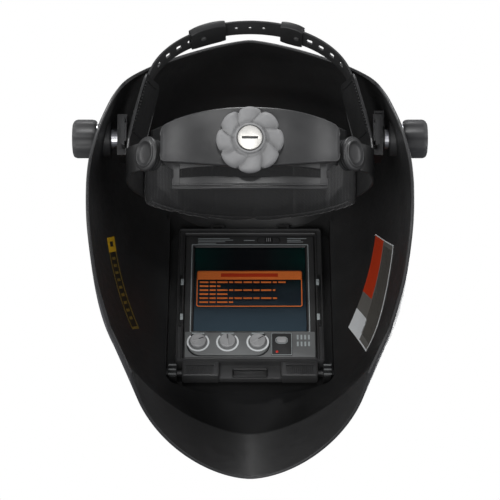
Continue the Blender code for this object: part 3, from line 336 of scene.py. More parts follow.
STRIP_TINT = (0.97, 1, 0.99)
LOOKS = {
    "shell": shell_look("shell_satin", grey(40), grey(49)),
    "case": moulded("case_satin", grey(52), grey(62), (0.42, 0.56), 2200, 0.00004, 30),
    "strip": moulded("control_face", grey(108, STRIP_TINT), grey(120, STRIP_TINT), (0.45, 0.6), 2600),
    "frame": moulded("frame_satin", grey(50), grey(62), (0.38, 0.52), 2200, 0.00004, 30),
    "gear": moulded("gear_satin", grey(34), grey(42), (0.36, 0.5), 2200, 0.00004, 30),
    "block": moulded("block_satin", grey(28), grey(36), (0.34, 0.48), 2200, 0.00004, 30),
    "pad_cover": moulded("cradle_satin", grey(40), grey(50), (0.34, 0.46), 2600, 0.00003, 20),
    "knob": moulded("knob_grey", grey(115), grey(131), (0.5, 0.66), 1800, 0.00005, 30, 0.35),
    "side_knob": moulded("side_knob_grey", grey(60), grey(72), (0.45, 0.6), 1800, 0.00005, 30),
    "dial": moulded("dial_grey", grey(150), grey(172), (0.4, 0.55), 2600, 0.00003, 60),
    "strap": moulded("strap_satin", grey(44), grey(56), (0.3, 0.44), 2200, 0.00003, 30),
    "black": moulded("latch_black", grey(22), grey(30), (0.4, 0.55), 2200, 0.00004, 40),
    "rubber": moulded("button_rubber_grey", grey(64), grey(76), (0.6, 0.75), 1600, 0.00006, 60, 0.3),
    "foam": woven("pad_cloth", grey(26), grey(44)),
    "thread": woven("seam_thread", grey(30), grey(52), 0.0007),
    "steel": brushed("zinc_plate", (0.5, 0.5, 0.52, 1), (0.75, 0.75, 0.77, 1)),
    "cap": brushed("cap_silver", (0.4, 0.39, 0.37, 1), (0.56, 0.55, 0.52, 1), (12, 12, 1), (0.42, 0.55)),
    "clear": clear_sheet("clear_lens", (0.95, 0.97, 0.97, 1)),
    "glass": filter_glass("filter_coated"),
    "orange": printed("orange_ink", (1.0, 0.24, 0.05, 1)),
    "white": printed("white_ink", (0.8, 0.82, 0.82, 1), 0.88),
    "light_line": printed("light_line", (0.42, 0.46, 0.46, 1), 0.85),
    "yellow": printed("yellow_ink", (0.85, 0.5, 0.02, 1)),
    "gold": printed("gold_ink", (0.22, 0.15, 0.03, 1)),
    "label_dark": printed("label_dark", (0.03, 0.026, 0.018, 1)),
    "label_grey": printed("label_grey", (0.17, 0.165, 0.15, 1)),
    "label_red": printed("label_red", (0.62, 0.05, 0.012, 1)),
    "board": printed("solder_mask", (0.03, 0.22, 0.08, 1)),
    "cell": moulded("cell_blue", (0.012, 0.014, 0.04, 1), (0.02, 0.024, 0.07, 1), (0.15, 0.25), 3000,
                    0.00001),
    "lamp": moulded("lamp_red", (0.5, 0.02, 0.02, 1), (0.7, 0.05, 0.03, 1), (0.2, 0.3), 3000, 0.00001),
}


# ---- mesh helpers ----


def loft(sections, loop=False):
    bm = bmesh.new()
    rings = [[bm.verts.new(p) for p in section] for section in sections]
    count = len(rings[0])
    pairs = list(zip(rings, rings[1:]))
    if loop:
        pairs.append((rings[-1], rings[0]))
    for one, two in pairs:
        for i in range(count):
            j = (i + 1) % count
            bm.faces.new((one[i], one[j], two[j], two[i]))
    if not loop:
        bm.faces.new(rings[0])
        bm.faces.new(list(reversed(rings[-1])))
    return bm


def box(x0, x1, y0, y1, z0, z1):
    ring = ((x0, z0), (x1, z0), (x1, z1), (x0, z1))
    return loft([[(x, y, z) for x, z in ring] for y in (y0, y1)])


def soft_box(x0, x1, y0, y1, z0, z1, r=0.6):
    """Block whose edges across y are rounded and whose y ends are chamfered."""
    x0, x1, y0, y1, z0, z1 = min(x0, x1), max(x0, x1), min(y0, y1), max(y0, y1), min(z0, z1), max(z0, z1)
    sections = []
    soft = 0.3 * r
    for y, inset in ((y0, r), (y0 + soft, soft), (y0 + r, 0), (y1 - r, 0), (y1 - soft, soft), (y1, r)):
        ring = rounded(x1 - x0 - 2 * inset, z1 - z0 - 2 * inset, r, 3)
        sections.append([(x + (x0 + x1) / 2, y, z + (z0 + z1) / 2) for x, z in ring])
    return loft(sections)


def merged(parts):
    out = bmesh.new()
    for part in parts:
        mesh = bpy.data.meshes.new("piece")
        part.to_mesh(mesh)
        part.free()
        out.from_mesh(mesh)
        bpy.data.meshes.remove(mesh)
    return out


def circle(radius, count=48):
    angles = [2 * math.pi * i / count for i in range(count)]
    return [(radius * math.cos(a), radius * math.sin(a)) for a in angles]


def rounded(width, height, radius, steps=6):
    points = []
    radius = max(0.02, min(radius, width / 2 - 0.01, height / 2 - 0.01))
    for cx, cy, start in ((1, 1, 0), (-1, 1, 90), (-1, -1, 180), (1, -1, 270)):
        for i in range(steps + 1):
            a = math.radians(start + 90 * i / steps)
            x = cx * (width / 2 - radius) + radius * math.cos(a)
            y = cy * (height / 2 - radius) + radius * math.sin(a)
            points.append((x, y))
    return points


def along_y(outline, levels):
    return loft([[(x * s, y, z * s) for x, z in outline] for y, s in levels])


def along_x(outline, levels):
    return loft([[(x, y * s, z * s) for y, z in outline] for x, s in levels])


def spun_y(profile, count=64, shape=None):
    """Turned solid along y from (y, radius) pairs; shape(angle) scales the radius."""
    sections = []
    for y, r in profile:
        ring = []
        for i in range(count):
            a = 2 * math.pi * i / count
            k = r * (shape(a) if shape else 1)
            ring.append((k * math.cos(a), y, k * math.sin(a)))
        sections.append(ring)
    return loft(sections)


def spun_x(profile, count=64):
    return loft([[(x, y, z) for y, z in circle(r, count)] for x, r in profile])


def frame_ring(outer, inner, profile, radius=(3, 1), steps=6):
    """Closed picture-frame ring. outer and inner are (x0, x1, z0, z1); profile is (share inwards, y)
    pairs."""
    sections = []
    for share, y in profile:
        x0, x1, z0, z1 = (a + (b - a) * share for a, b in zip(outer, inner))
        r = radius[0] + (radius[1] - radius[0]) * share
        ring = rounded(x1 - x0, z1 - z0, r, steps)
        sections.append([(x + (x0 + x1) / 2, y, z + (z0 + z1) / 2) for x, z in ring])
    return loft(sections, loop=True)


def plate_y(outline, y0, y1, edge=0.4):
    """Flat plate between y0 (towards the wearer) and y1, with a rounded edge at y0."""
    step = 1 if y1 > y0 else -1
    levels = ((y0, edge), (y0 + step * edge * 0.3, edge * 0.3), (y0 + step * edge, 0), (y1, 0))
    return inset_loft(outline, [(inset, y) for y, inset in levels])


def inset_loft(outline, levels, loop=False):
    """Loft through outline(inset) at each (inset, y) of levels; with loop it closes into a ring."""
    return loft([[(x, y, z) for x, z in outline(inset)] for inset, y in levels], loop=loop)


def scaled_ring(outline, levels):
    """Closed ring from one outline scaled by k at each (k, y) of levels."""
    return loft([[(x * k, y, z * k) for x, z in outline] for k, y in levels], loop=True)


def soft_section(a0, a1, b0, b1, r, steps=3):
    """Rounded rectangle in two plain coordinates, as (a, b) points."""
    return [(a + (a0 + a1) / 2, b + (b0 + b1) / 2) for a, b in rounded(a1 - a0, b1 - b0, r, steps)]


def raw(name, bm, place=WORLD, at=(0, 0, 0)):
    bmesh.ops.scale(bm, vec=(MM, MM, MM), verts=bm.verts)
    bmesh.ops.recalc_face_normals(bm, faces=bm.faces)
    bmesh.ops.transform(bm, matrix=place @ Matrix.Translation(Vector(at) * MM), verts=bm.verts)
    mesh = bpy.data.meshes.new(name)
    bm.to_mesh(mesh)
    bm.free()
    obj = bpy.data.objects.new(name, mesh)
    bpy.context.scene.collection.objects.link(obj)
    return obj


def carve(obj, steps):
    """Applies Boolean steps (operation, bmesh, frame, at) to obj's mesh."""
    others = []
    for i, (operation, bm, place, at) in enumerate(steps):
        other = raw("tool_%d" % i, bm, place, at)
        mod = obj.modifiers.new("step_%d" % i, "BOOLEAN")
        mod.object = other
        mod.operation = operation
        mod.solver = "EXACT"
        others.append(other)
    bpy.context.view_layer.update()
    made = bpy.data.meshes.new_from_object(obj.evaluated_get(bpy.context.evaluated_depsgraph_get()))
    obj.modifiers.clear()
    obj.data = made
    for other in others:
        bpy.data.objects.remove(other, do_unlink=True)
    return obj


def finish_piece(obj, look, body, replaces=(), sharp=35):
    obj.data.materials.clear()
    obj.data.materials.append(LOOKS[look])
    obj.data.shade_smooth()
    obj.data.set_sharp_from_angle(angle=math.radians(sharp))
    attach(obj, body)
    if replaces:
        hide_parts(*replaces)
    return obj


def round_edges(obj, width, angle=38):
    mod = obj.modifiers.new("edges", "BEVEL")
    mod.width = width * MM
    mod.segments = 2
    mod.limit_method = "ANGLE"
    mod.angle_limit = math.radians(angle)
    mod.harden_normals = True


def piece(name, bm, look, body, place=WORLD, at=(0, 0, 0), replaces=(), slot=None, sharp=35, steps=()):
    obj = raw(name, bm, place, at)
    if steps:
        carve(obj, steps)
    return finish_piece(obj, look, body, replaces, sharp)


def window_piece(name, bm, look, at=(0, 0, 0), **more):
    """Plastic piece that is drawn in the window's frame and fixed to the helmet."""
    return piece(name, bm, look, "helmet", WINDOW, at, slot="case_plastic", **more)


def cut(bm, place=WORLD, at=(0, 0, 0)):
    return ("DIFFERENCE", bm, place, at)


def join(bm, place=WORLD, at=(0, 0, 0)):
    return ("UNION", bm, place, at)


def dress(node, look, bevel=0.0):
    """Gives a carried-over CAD node its material and rounded edges."""
    obj = NODES[node]
    obj.data.materials.clear()
    obj.data.materials.append(LOOKS[look])
    if bevel:
        round_edges(obj, bevel)


# ---- shell ----


def spline(values, t):
    last = len(values) - 1
    i = min(int(t), last - 1)
    f = t - i
    b, c = values[i], values[i + 1]
    a = values[i - 1] if i > 0 else 2 * b - c
    d = values[i + 2] if i + 2 <= last else 2 * c - b
    return 0.5 * (2 * b + (c - a) * f + (2 * a - 5 * b + 4 * c - d) * f**2 + (3 * b - a - 3 * c + d) * f**3)


def station(t):
    if t <= CREASE:
        return [spline([s[k] for s in STATIONS[: CREASE + 1]], t) for k in range(6)]
    one, two = STATIONS[CREASE], STATIONS[CREASE + 1]
    return [a + (b - a) * (t - CREASE) for a, b in zip(one, two)]


def shell_row(t, marks):
    """Points across the outer surface at distances along the curve; marks maps its length to distances."""
    side_y, side_z, half, front_y, front_z, power = station(t)
    a = np.linspace(0, math.pi, 1441)
    across = np.sign(np.cos(a)) * np.abs(np.cos(a)) ** (2 / power)
    ahead = np.abs(np.sin(a)) ** (2 / power)
    columns = [half * across, side_y + (front_y - side_y) * ahead, side_z + (front_z - side_z) * ahead]
    fine = np.stack(columns, 1)
    run = np.concatenate([[0], np.cumsum(np.linalg.norm(np.diff(fine, axis=0), axis=1))])
    at = marks(run[-1])
    return np.stack([np.interp(at, run, fine[:, k]) for k in range(3)], 1)


RIM_STEPS = (0, 0.12, 0.35, 0.7, 1.15, 1.7)


def rim_marks(columns):
    def marks(length):
        middle = np.linspace(3.2, length - 3.2, columns)
        return np.concatenate([RIM_STEPS, middle, [length - r for r in reversed(RIM_STEPS)]])

    return marks


def even_marks(columns):
    return lambda length: np.linspace(0, length, columns)


def grid_normals(grid):
    normal = np.cross(np.gradient(grid, axis=1), np.gradient(grid, axis=0))
    normal /= np.maximum(1e-9, np.linalg.norm(normal, axis=2))[:, :, None]
    flip = np.sum(normal * (grid - np.array(HEAD_CENTRE)), axis=2) < 0
    normal[flip] *= -1
    return normal


def slab(outer, inner):
    bm = bmesh.new()
    rows, columns = outer.shape[:2]
    tops = [[bm.verts.new(p) for p in row] for row in outer]
    lows = [[bm.verts.new(p) for p in row] for row in inner]
    for i in range(rows - 1):
        for j in range(columns - 1):
            bm.faces.new((tops[i][j], tops[i][j + 1], tops[i + 1][j + 1], tops[i + 1][j]))
            bm.faces.new((lows[i][j], lows[i + 1][j], lows[i + 1][j + 1], lows[i][j + 1]))
    edge = [(0, j) for j in range(columns)] + [(i, columns - 1) for i in range(1, rows)]
    edge += [(rows - 1, j) for j in range(columns - 2, -1, -1)] + [(i, 0) for i in range(rows - 2, 0, -1)]
    for (a, b), (c, d) in zip(edge, edge[1:] + edge[:1]):
        bm.faces.new((tops[a][b], lows[a][b], lows[c][d], tops[c][d]))
    return bm


def tray_ring(grow, corner=8):
    ring = rounded(142 + 2 * grow, 171.5 + 2 * grow, corner + grow, 8)
    return [(x, z - 4.25) for x, z in ring]


def shell_levels():
    """Rows from brow to chin, close together at both rims and on either side of the chin crease."""
    rim = [r / BROW_PITCH for r in RIM_STEPS]
    upper = np.linspace(0.09, CREASE - 0.12, 74)
    chin = [r / CHIN_PITCH for r in RIM_STEPS]
    lower = np.linspace(CREASE + 0.1, 10.93, 12)
    crease = [CREASE - 0.035, CREASE, CREASE + 0.03]
    end = [LAST_STATION - c for c in reversed(chin)]
    return np.array(rim + list(upper) + crease + list(lower) + end)


def build_shell():
    levels = shell_levels()
    grid = np.array([shell_row(t, rim_marks(84)) for t in levels])
    rows, columns = grid.shape[:2]
    normals = grid_normals(grid)
    rim = len(RIM_STEPS)
    normals[:rim], normals[-rim:] = normals[rim], normals[-rim - 1]
    for edge in range(rim):
        normals[:, edge], normals[:, -1 - edge] = normals[:, rim], normals[:, -rim - 1]
    depth = np.full((rows, columns), WALL / 2)
    for k, r in enumerate(RIM_STEPS[:-1]):
        half = WALL / 2 * math.sqrt(max(0.02, 1 - (1 - min(1, r / 1.2)) ** 2))
        for line in (np.s_[k, :], np.s_[-1 - k, :], np.s_[:, k], np.s_[:, -1 - k]):
            depth[line] = np.minimum(depth[line], half)
    middle = grid - normals * WALL / 2
    outer, inner = middle + normals * depth[:, :, None], middle - normals * depth[:, :, None]
    skin = raw("shell_skin", slab(outer, inner))
    coarse = np.array([shell_row(t, even_marks(34)) for t in np.linspace(0, LAST_STATION, 36)])
    inside = coarse - grid_normals(coarse) * (WALL - 0.5)
    cavity = loft([[tuple(p) for p in row] + [tuple(row[-1] + (0, -60, 0)), tuple(row[0] + (0, -60, 0))]
                   for row in inside])
    front = ((-45, 1), (16.5, 1), (18.6, 0.994), (20.2, 0.98), (21, 0.962))
    tray = raw("window_tray", along_y(tray_ring(3), front), WINDOW)
    opening = [(x, z) for x, z in rounded(110, 128, 5)]
    carve(tray, [
        cut(along_y(tray_ring(0), ((-60, 1), (18, 1))), WINDOW),
        cut(cavity),
        cut(along_y(opening, ((0, 1), (18.6, 1), (21.4, 1.03), (26, 1.03))), WINDOW),
    ])
    catches = merged([box(s * 66, s * 80, 1.5, 8.5, LATCH_Z - 4, LATCH_Z + 4) for s in (-1, 1)])
    carve(tray, [cut(catches, WINDOW)])
    hole = along_y(tray_ring(1.1), ((-60, 1), (60, 1)))
    bores = merged([along_x(circle(4.7, 32), ((s * 100, 1), (s * 130, 1))) for s in (-1, 1)])
    boss = ((110.5, 13.2), (111.2, 14), (118.8, 14), (119.5, 13.2))
    bosses = merged([spun_x([(s * x, r) for x, r in boss], 48) for s in (-1, 1)])
    carve(skin, [cut(hole, WINDOW), join(bosses), cut(bores)])
    finish_piece(skin, "shell", "helmet", ("shell",), 40)
    finish_piece(tray, "shell", "helmet", (), 35)


def surface_at(level, across):
    return shell_row(level, lambda length: np.array([across * length]))[0]


def wall_patch(corners, span, lift, thick, rows=24, columns=6):
    """Thin film on the inner wall. corners are (level, fraction across from the right rim); span is the
    part of the label it covers, as (u0, u1, v0, v1)."""
    (a, b), (c, d) = np.array(corners[:2]), np.array(corners[2:])
    u0, u1, v0, v1 = span
    points = np.zeros((rows, columns, 3))
    for i, v in enumerate(np.linspace(v0, v1, rows)):
        for j, u in enumerate(np.linspace(u0, u1, columns)):
            points[i, j] = surface_at(*((a * (1 - u) + b * u) * (1 - v) + (c * (1 - u) + d * u) * v))
    normals = grid_normals(points)
    return slab(points - normals * (WALL + lift), points - normals * (WALL + lift + thick))


LABEL_LEFT = ((6.0, 0.78), (6.35, 0.815), (7.5, 0.685), (7.65, 0.705))
LABEL_RIGHT = ((6.55, 0.185), (5.65, 0.26), (8.3, 0.285), (7.3, 0.345))


def build_wall_labels():
    """Plain coloured films with blank blocks and rules, in place of printed labels."""
    def film(name, corners, span, lift, look, replaces=(), rows=16, columns=5):
        bm = wall_patch(corners, span, lift, 0.12, rows, columns)
        piece(name, bm, look, "helmet", replaces=replaces, slot="label_film")

    film("label_left_base", LABEL_LEFT, (0, 1, 0, 1), 0.08, "label_dark", ("wall_label_left",))
    film("label_left_block", LABEL_LEFT, (0, 1, 0, 0.17), 0.24, "yellow")
    film("label_left_mark", LABEL_LEFT, (0.3, 0.7, 0.05, 0.11), 0.4, "label_dark")
    edges = {"edge_a": (0, 0.1, 0.17, 1), "edge_b": (0.9, 1, 0.17, 1), "end": (0, 1, 0.975, 1)}
    for name, span in edges.items():
        film("label_left_" + name, LABEL_LEFT, span, 0.24, "gold")
    for i in range(9):
        v = 0.23 + i * 0.08
        film("label_left_rule_%d" % i, LABEL_LEFT, (0.28, 0.72, v, v + 0.03), 0.24, "gold", (), 4, 3)
    film("label_right_base", LABEL_RIGHT, (0, 1, 0, 1), 0.08, "label_grey", ("wall_label_right",), 20, 8)
    film("label_right_stripe", LABEL_RIGHT, (0.62, 1, 0, 0.62), 0.24, "label_red")
    film("label_right_block", LABEL_RIGHT, (0.55, 1, 0.8, 1), 0.24, "white")
    edges = {"edge_a": (0, 0.03, 0, 1), "edge_b": (0, 1, 0.985, 1), "edge_c": (0, 1, 0, 0.012)}
    for name, span in edges.items():
        film("label_right_" + name, LABEL_RIGHT, span, 0.4, "white")
    for i in range(11):
        u = 0.08 + i * 0.047
        span = (u, u + 0.016, 0.06, 0.93)
        film("label_right_rule_%d" % i, LABEL_RIGHT, span, 0.24, "label_dark", (), 12, 2)


# ---- window ----


def build_holder():
    outer, inner = (-63.5, 63.5, -69.3, 73.2), (-57.2, 57.2, -66.7, 66.7)
    profile = ((1, 13), (1, -0.4), (0.93, -1.6), (0.85, -2.0), (0.74, -1.7), (0.68, -0.7), (0.3, -0.7),
               (0.24, -1.7), (0.14, -2.0), (0.05, -1.6), (0, -0.8), (0, 15.8), (0.08, 16.3), (1, 16.3))
    steps = []
    for s in (-1, 1):
        steps.append(join(soft_box(s * 29 - 6, s * 29 + 6, 1, 7, 71.5, 80.2, 1.2), WINDOW))
        steps.append(cut(box(s * 29 - 3.8, s * 29 + 3.8, -3, 12, 74.6, 78), WINDOW))
        barrel = soft_box(s * 26, s * 57.5, -1, 11, LATCH_Z - 6.5, -68.2, 1.4)
        steps.append(join(barrel, WINDOW))
    steps.append(join(soft_box(-26.5, 26.5, 5, 11.5, LATCH_Z - 5.5, -68, 1.0), WINDOW))
    bores = merged([along_x(circle(3.5, 24), ((s * 30, 1), (s * 60, 1))) for s in (-1, 1)])
    pockets = merged([box(s * 30.5, s * 54.5, -3, 0.2, LATCH_Z - 5.2, LATCH_Z + 4.2) for s in (-1, 1)])
    slots = merged([box(s * 59.1, s * 60.9, -5, 20, -33, 21) for s in (-1, 1)])
    steps.append(cut(pockets, WINDOW))
    steps.append(cut(bores, WINDOW, (0, LATCH_Y, LATCH_Z)))
    steps.append(cut(slots, WINDOW))
    piece("holder_frame", frame_ring(outer, inner, profile, (3, 1)), "frame", "helmet", WINDOW,
          replaces=("filter_holder",), slot="case_plastic", steps=steps)
    lip = frame_ring((-57, 57, -66.5, 66.5), (-53, 53, -63, 63),
                     ((0, 13.3), (0, 16.2), (1, 16.2), (1, 13.3)), (1, 2))
    window_piece("holder_lip", lip, "frame")
    ribs = []
    for s in (-1, 1):
        for i in range(13):
            x = s * (31.8 + 1.72 * i)
            ribs.append(soft_box(x - 0.45, x + 0.45, -0.9, 0.4, LATCH_Z - 4.6, LATCH_Z + 3.4, 0.25))
    window_piece("barrel_ribs", merged(ribs), "frame")
    plate = frame_ring((-15, 15, LATCH_Z - 4.6, LATCH_Z + 3.6), (-13.9, 13.9, LATCH_Z - 3.5, LATCH_Z + 2.5),
                       ((0, 5.1), (0, 3.3), (0.4, 2.9), (1, 3.3), (1, 5.1)), (1.5, 0.8))
    window_piece("centre_frame", plate, "black")

    def centre(inset):
        return [(x, z + LATCH_Z - 0.5) for x, z in rounded(27.4 - 2 * inset, 5.8 - 2 * inset, 0.8)]

    plate = plate_y(centre, 3.9, 5.2)
    window_piece("centre_plate", plate, "black")
    for side, s in (("left", -1), ("right", 1)):
        bar = soft_box(s * 58.9, s * 61.1, -2.6, 1.0, -33, 21, 0.5)
        window_piece("side_clip_" + side, bar, "black")
        # Painted glint: the clip's two bumps take the light line grey where light catches them.
        glint_nibs = [soft_box(s * 57.6, s * 60.2, -3.2, -2.2, z - 3.2, z + 3.2, 0.4) for z in (13, -24)]
        window_piece("clip_nibs_" + side, merged(glint_nibs), "light_line")


def build_latches():
    for side, s in (("left", -1), ("right", 1)):
        at = (s * 61.8, LATCH_Y, LATCH_Z)
        core = soft_box(0, s * 6.6, -4.9, 6, -6.4, 6.4, 0.6)
        steps = [join(along_x(circle(3.0, 24), ((s * -21.8, 1), (s * 1, 1))), WINDOW, at),
                 join(soft_box(s * 6, s * 11.5, -2.5, 2.5, -3, 3, 0.4), WINDOW, at)]
        body = "latch_" + side
        piece("grip_" + side, core, "black", body, WINDOW, at, (body,), "case_plastic", steps=steps)
        # Painted highlight: the three ridges on the black grip take the light control-face grey where light
        # catches them.
        highlight_ridges = [soft_box(s * 0.4, s * 7.2, -6.4, -4.6, z - 0.7, z + 0.7, 0.5) for z in (-4.6, 0, 4.6)]
        piece("grip_ridges_" + side, merged(highlight_ridges), "strip", body, WINDOW, at, slot="case_plastic")
        build_spring(side, s)


def build_spring(side, s, turns=5, radius=2.4, wire=0.35):
    """Coil between the barrel's end wall and the latch rod, drawn at rest with its own mesh; nothing here
    shortens it as the latch is pulled.
    """
    start, travel, per_turn = 30.4, 8.5, 24
    sections = []
    for i in range(turns * per_turn + 1):
        a = 2 * math.pi * i / per_turn
        outward = Vector((0, math.cos(a), math.sin(a)))
        centre = Vector((start + wire + travel * i / (turns * per_turn), 0, 0)) + outward * radius
        ring = []
        for k in range(10):
            b = 2 * math.pi * k / 10
            ring.append(centre + wire * (outward * math.cos(b) + Vector((1, 0, 0)) * math.sin(b)))
        sections.append([(s * q.x, q.y + LATCH_Y, q.z + LATCH_Z) for q in ring])
    coil = piece("coil_" + side, loft(sections), "steel", "helmet", WINDOW,
                 replaces=("latch_spring_" + side,), slot="steel")
    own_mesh(coil)


# Control knobs: node, x and the direction of the pointer in degrees.
KNOBS = (("delay_knob", -44.3, 22), ("sensitivity_knob", -19.2, 92), ("shade_knob", 6.6, 32))
KNOB_PROFILE = ((4.2, 2.0), (0, 2.0), (0, 6.6), (-1.6, 6.9), (-2.3, 6.6), (-2.6, 6.0), (-2.4, 5.2))


def arc_band(radius, width, start, end, y0, y1, count=40):
    """Flat curved bar from start to end degrees, measured from +x towards +z."""
    sections = []
    for i in range(count + 1):
        a = math.radians(start + (end - start) * i / count)
        c, s = math.cos(a), math.sin(a)
        lo, hi = radius - width / 2, radius + width / 2
        sections.append([(r * c, y, r * s) for r, y in ((lo, y0), (hi, y0), (hi, y1), (lo, y1))])
    return loft(sections)


def rule_bars(x0, z0, lengths, gap, height, y):
    tops = [(z0 - i * gap, w) for i, w in enumerate(lengths)]
    return merged([box(x0, x0 + w, y, y + 0.12, z, z + height) for z, w in tops])


# Blank rules in place of print: name, left end, top, lengths, spacing and height.
RULES = (
    ("rating_rules", -46, 62.6, (28, 31, 24, 16), 1.75, 0.55),
    ("rating_rules_right", 33, 62.6, (17, 12, 14), 1.9, 0.6),
    ("switch_rule", -5.5, 60.5, (9.5,), 1, 0.7),
)


def build_cartridge():
    outer, inner = (-56.7, 56.7, -66.2, 66.2), (-49.15, 49.15, -37.2, 54.2)
    profile = ((1, 1.5), (1, 0.5), (0.97, 0.1), (0.93, 0), (0.1, 0), (0.04, 0.25), (0, 0.8), (0, 5),
               (0.5, 5), (0.5, 1.5))
    case = frame_ring(outer, inner, profile, (2, 1))
    piece("case_back", case, "case", "helmet", WINDOW, replaces=("cartridge_rear_case",), slot="case_plastic")

    def strip(inset):
        return [(x, z + STRIP_Z) for x, z in rounded(111 - 2 * inset, 26 - 2 * inset, 1.0)]

    window_piece("control_face", plate_y(strip, -0.25, 0.6, 0.2), "strip")

    def pill(inset):
        return [(x - 18.5, z + STRIP_Z) for x, z in rounded(69 - 2 * inset, 23.4 - 2 * inset, 11.6, 12)]

    window_piece("control_pill", plate_y(pill, -1.5, 0.4, 0.7), "strip")
    # Painted shadow: a thin black ring round the foot of the raised pill stands for the shadow it casts.
    groove = inset_loft(pill, ((-0.9, -0.3), (-0.9, -0.5), (-0.1, -0.5), (-0.1, -0.3)), True)
    window_piece("pill_shadow_ring", groove, "black")

    def panel(inset):
        return [(x + BUTTON_X, z + STRIP_Z) for x, z in rounded(18 - 2 * inset, 23.4 - 2 * inset, 0.8)]

    window_piece("button_face", plate_y(panel, -0.8, 0.4, 0.3), "case")
    line = inset_loft(panel, ((0.35, -0.75), (0.35, -0.9), (0.75, -0.9), (0.75, -0.75)), True)
    window_piece("button_line", line, "light_line")
    view = frame_ring((-51.6, 51.6, -38.6, 56.4), (-50.9, 50.9, -37.9, 55.7),
                      ((0, 0.05), (0, -0.12), (1, -0.12), (1, 0.05)), (1, 1))
    window_piece("view_line", view, "light_line")
    edge = frame_ring((-49.6, 49.6, -37.6, 54.6), (-48.6, 48.6, -36.6, 53.6),
                      ((0, 0.2), (0.2, -0.05), (1, 0.9), (1, 1.6), (0, 1.6)), (1, 0.8))
    window_piece("view_bezel", edge, "black")
    rim = scaled_ring(rounded(20.5, 6.8, 3.3, 8), ((1, -0.05), (1, -0.45), (0.97, -0.5), (0.94, -0.05)))
    window_piece("switch_rim", rim, "black", SWITCH_AT)
    for name, x, z, lengths, gap, height in RULES:
        window_piece(name, rule_bars(x, z, lengths, gap, height, -0.1), "light_line")
    tallies = [(x, z) for x in (40, 43.2, 46.4, 49.6) for z in (-46, -53)]
    bars = merged([box(x, x + 1.5, -0.35, -0.2, z, z + 4.6) for x, z in tallies])
    window_piece("tally_rules", bars, "light_line")
    for name, x, _ in KNOBS:
        at = (x, 0, STRIP_Z + 1.4)
        arc = arc_band(8.9, 1.5, 135, 405, -1.75, -1.4)
        window_piece(name + "_scale", arc, "white", at)
        rule = box(-5.2, 5.2, -1.75, -1.45, 8.3, 9.6)
        window_piece(name + "_rule", rule, "light_line", at)


def build_controls():
    for name, x, turn in KNOBS:
        at = (x, -1.8, STRIP_Z + 2)
        knob = spun_y(KNOB_PROFILE, 48, lambda a: 1 + 0.012 * math.cos(24 * a))
        bar = soft_box(-5.4, 5.4, -3.4, -2.0, -1.15, 1.15, 0.5)
        # Painted shade: a black strip along the grip bar stands for the dark inside the knob's pointer slot.
        pointer_shade = soft_box(0.6, 5.2, -3.55, -3.2, -0.35, 0.35, 0.15)
        turned_by = Matrix.Rotation(math.radians(-turn), 3, "Y")
        for bm in (bar, pointer_shade):
            bmesh.ops.rotate(bm, verts=bm.verts, cent=(0, 0, 0), matrix=turned_by)
        piece(name + "_dial", knob, "dial", name, WINDOW, at, (name,), "knob_plastic")
        piece(name + "_bar", bar, "dial", name, WINDOW, at, slot="knob_plastic")
        piece(name + "_mark", pointer_shade, "black", name, WINDOW, at, slot="knob_plastic")
    button = plate_y(lambda g: rounded(9 - 2 * g, 5.6 - 2 * g, 2.7, 8), -2.0, 2.2, 0.7)
    piece("button_cap", button, "dial", "test_button", WINDOW, (BUTTON_X, -0.5, BUTTON_Z),
          ("test_button",), "button_rubber")
    ring = scaled_ring(rounded(10.6, 7.2, 3.5, 8), ((1, -0.7), (1, -1.3), (0.92, -1.3), (0.92, -0.7)))
    window_piece("button_ring", ring, "light_line", (BUTTON_X, 0, BUTTON_Z))
    slider = soft_box(-3.5, 3.5, -1.2, 0.9, -2.3, 2.3, 0.6)
    notches = [soft_box(x - 0.3, x + 0.3, -1.5, -1.0, -2.0, 2.0, 0.2) for x in (-1.6, 0, 1.6)]
    piece("slider_cap", slider, "black", "mode_switch", WINDOW, SWITCH_AT, ("mode_switch",), "button_rubber")
    piece("slider_notches", merged(notches), "dial", "mode_switch", WINDOW, SWITCH_AT, slot="button_rubber")


def build_view_label():
    """Orange film on the lens: a blank header, a border and plain rules."""
    at = (-0.5, 0, VIEW_Z + 0.35)
    y0, y1 = 1.3, 1.55
    top = [(x, z) for x, z in rounded(92, 38.5, 2, 8) if z > 0]
    outline = top + [(-46, 9.9), (46, 9.9)]
    piece("view_label_header", along_y(outline, ((y0, 1), (y1, 1))), "orange", "helmet", WINDOW, at,
          ("lens_label",), "label_film")
    ring = frame_ring((-46, 46, -19.25, 19.25), (-45.2, 45.2, -18.45, 18.45),
                      ((0, y0), (0, y1), (1, y1), (1, y0)), (2, 1.3))
    piece("view_label_border", ring, "orange", "helmet", WINDOW, at, slot="label_film")
    bars = []
    left, gap = -43.4, 1.3
    for i, width in enumerate((76, 18, 66, 25, 70, 30)):
        z = 7.0 - i * 4.3
        x = left
        step = 0
        while x < left + width - 2:
            w = (7.5, 5.2, 9.0, 3.6, 6.4)[step % 5]
            bars.append(box(x, min(x + w, left + width), y0, y1, z - 0.75, z + 0.75))
            x += w + gap
            step += 1
    piece("view_label_rules", merged(bars), "orange", "helmet", WINDOW, at, slot="label_film")
    bar = box(-25, 25, y0 - 0.12, y0, 12.6, 16.4)
    piece("view_label_title_bar", bar, "label_red", "helmet", WINDOW, at, slot="label_film")


# ---- pivots ----


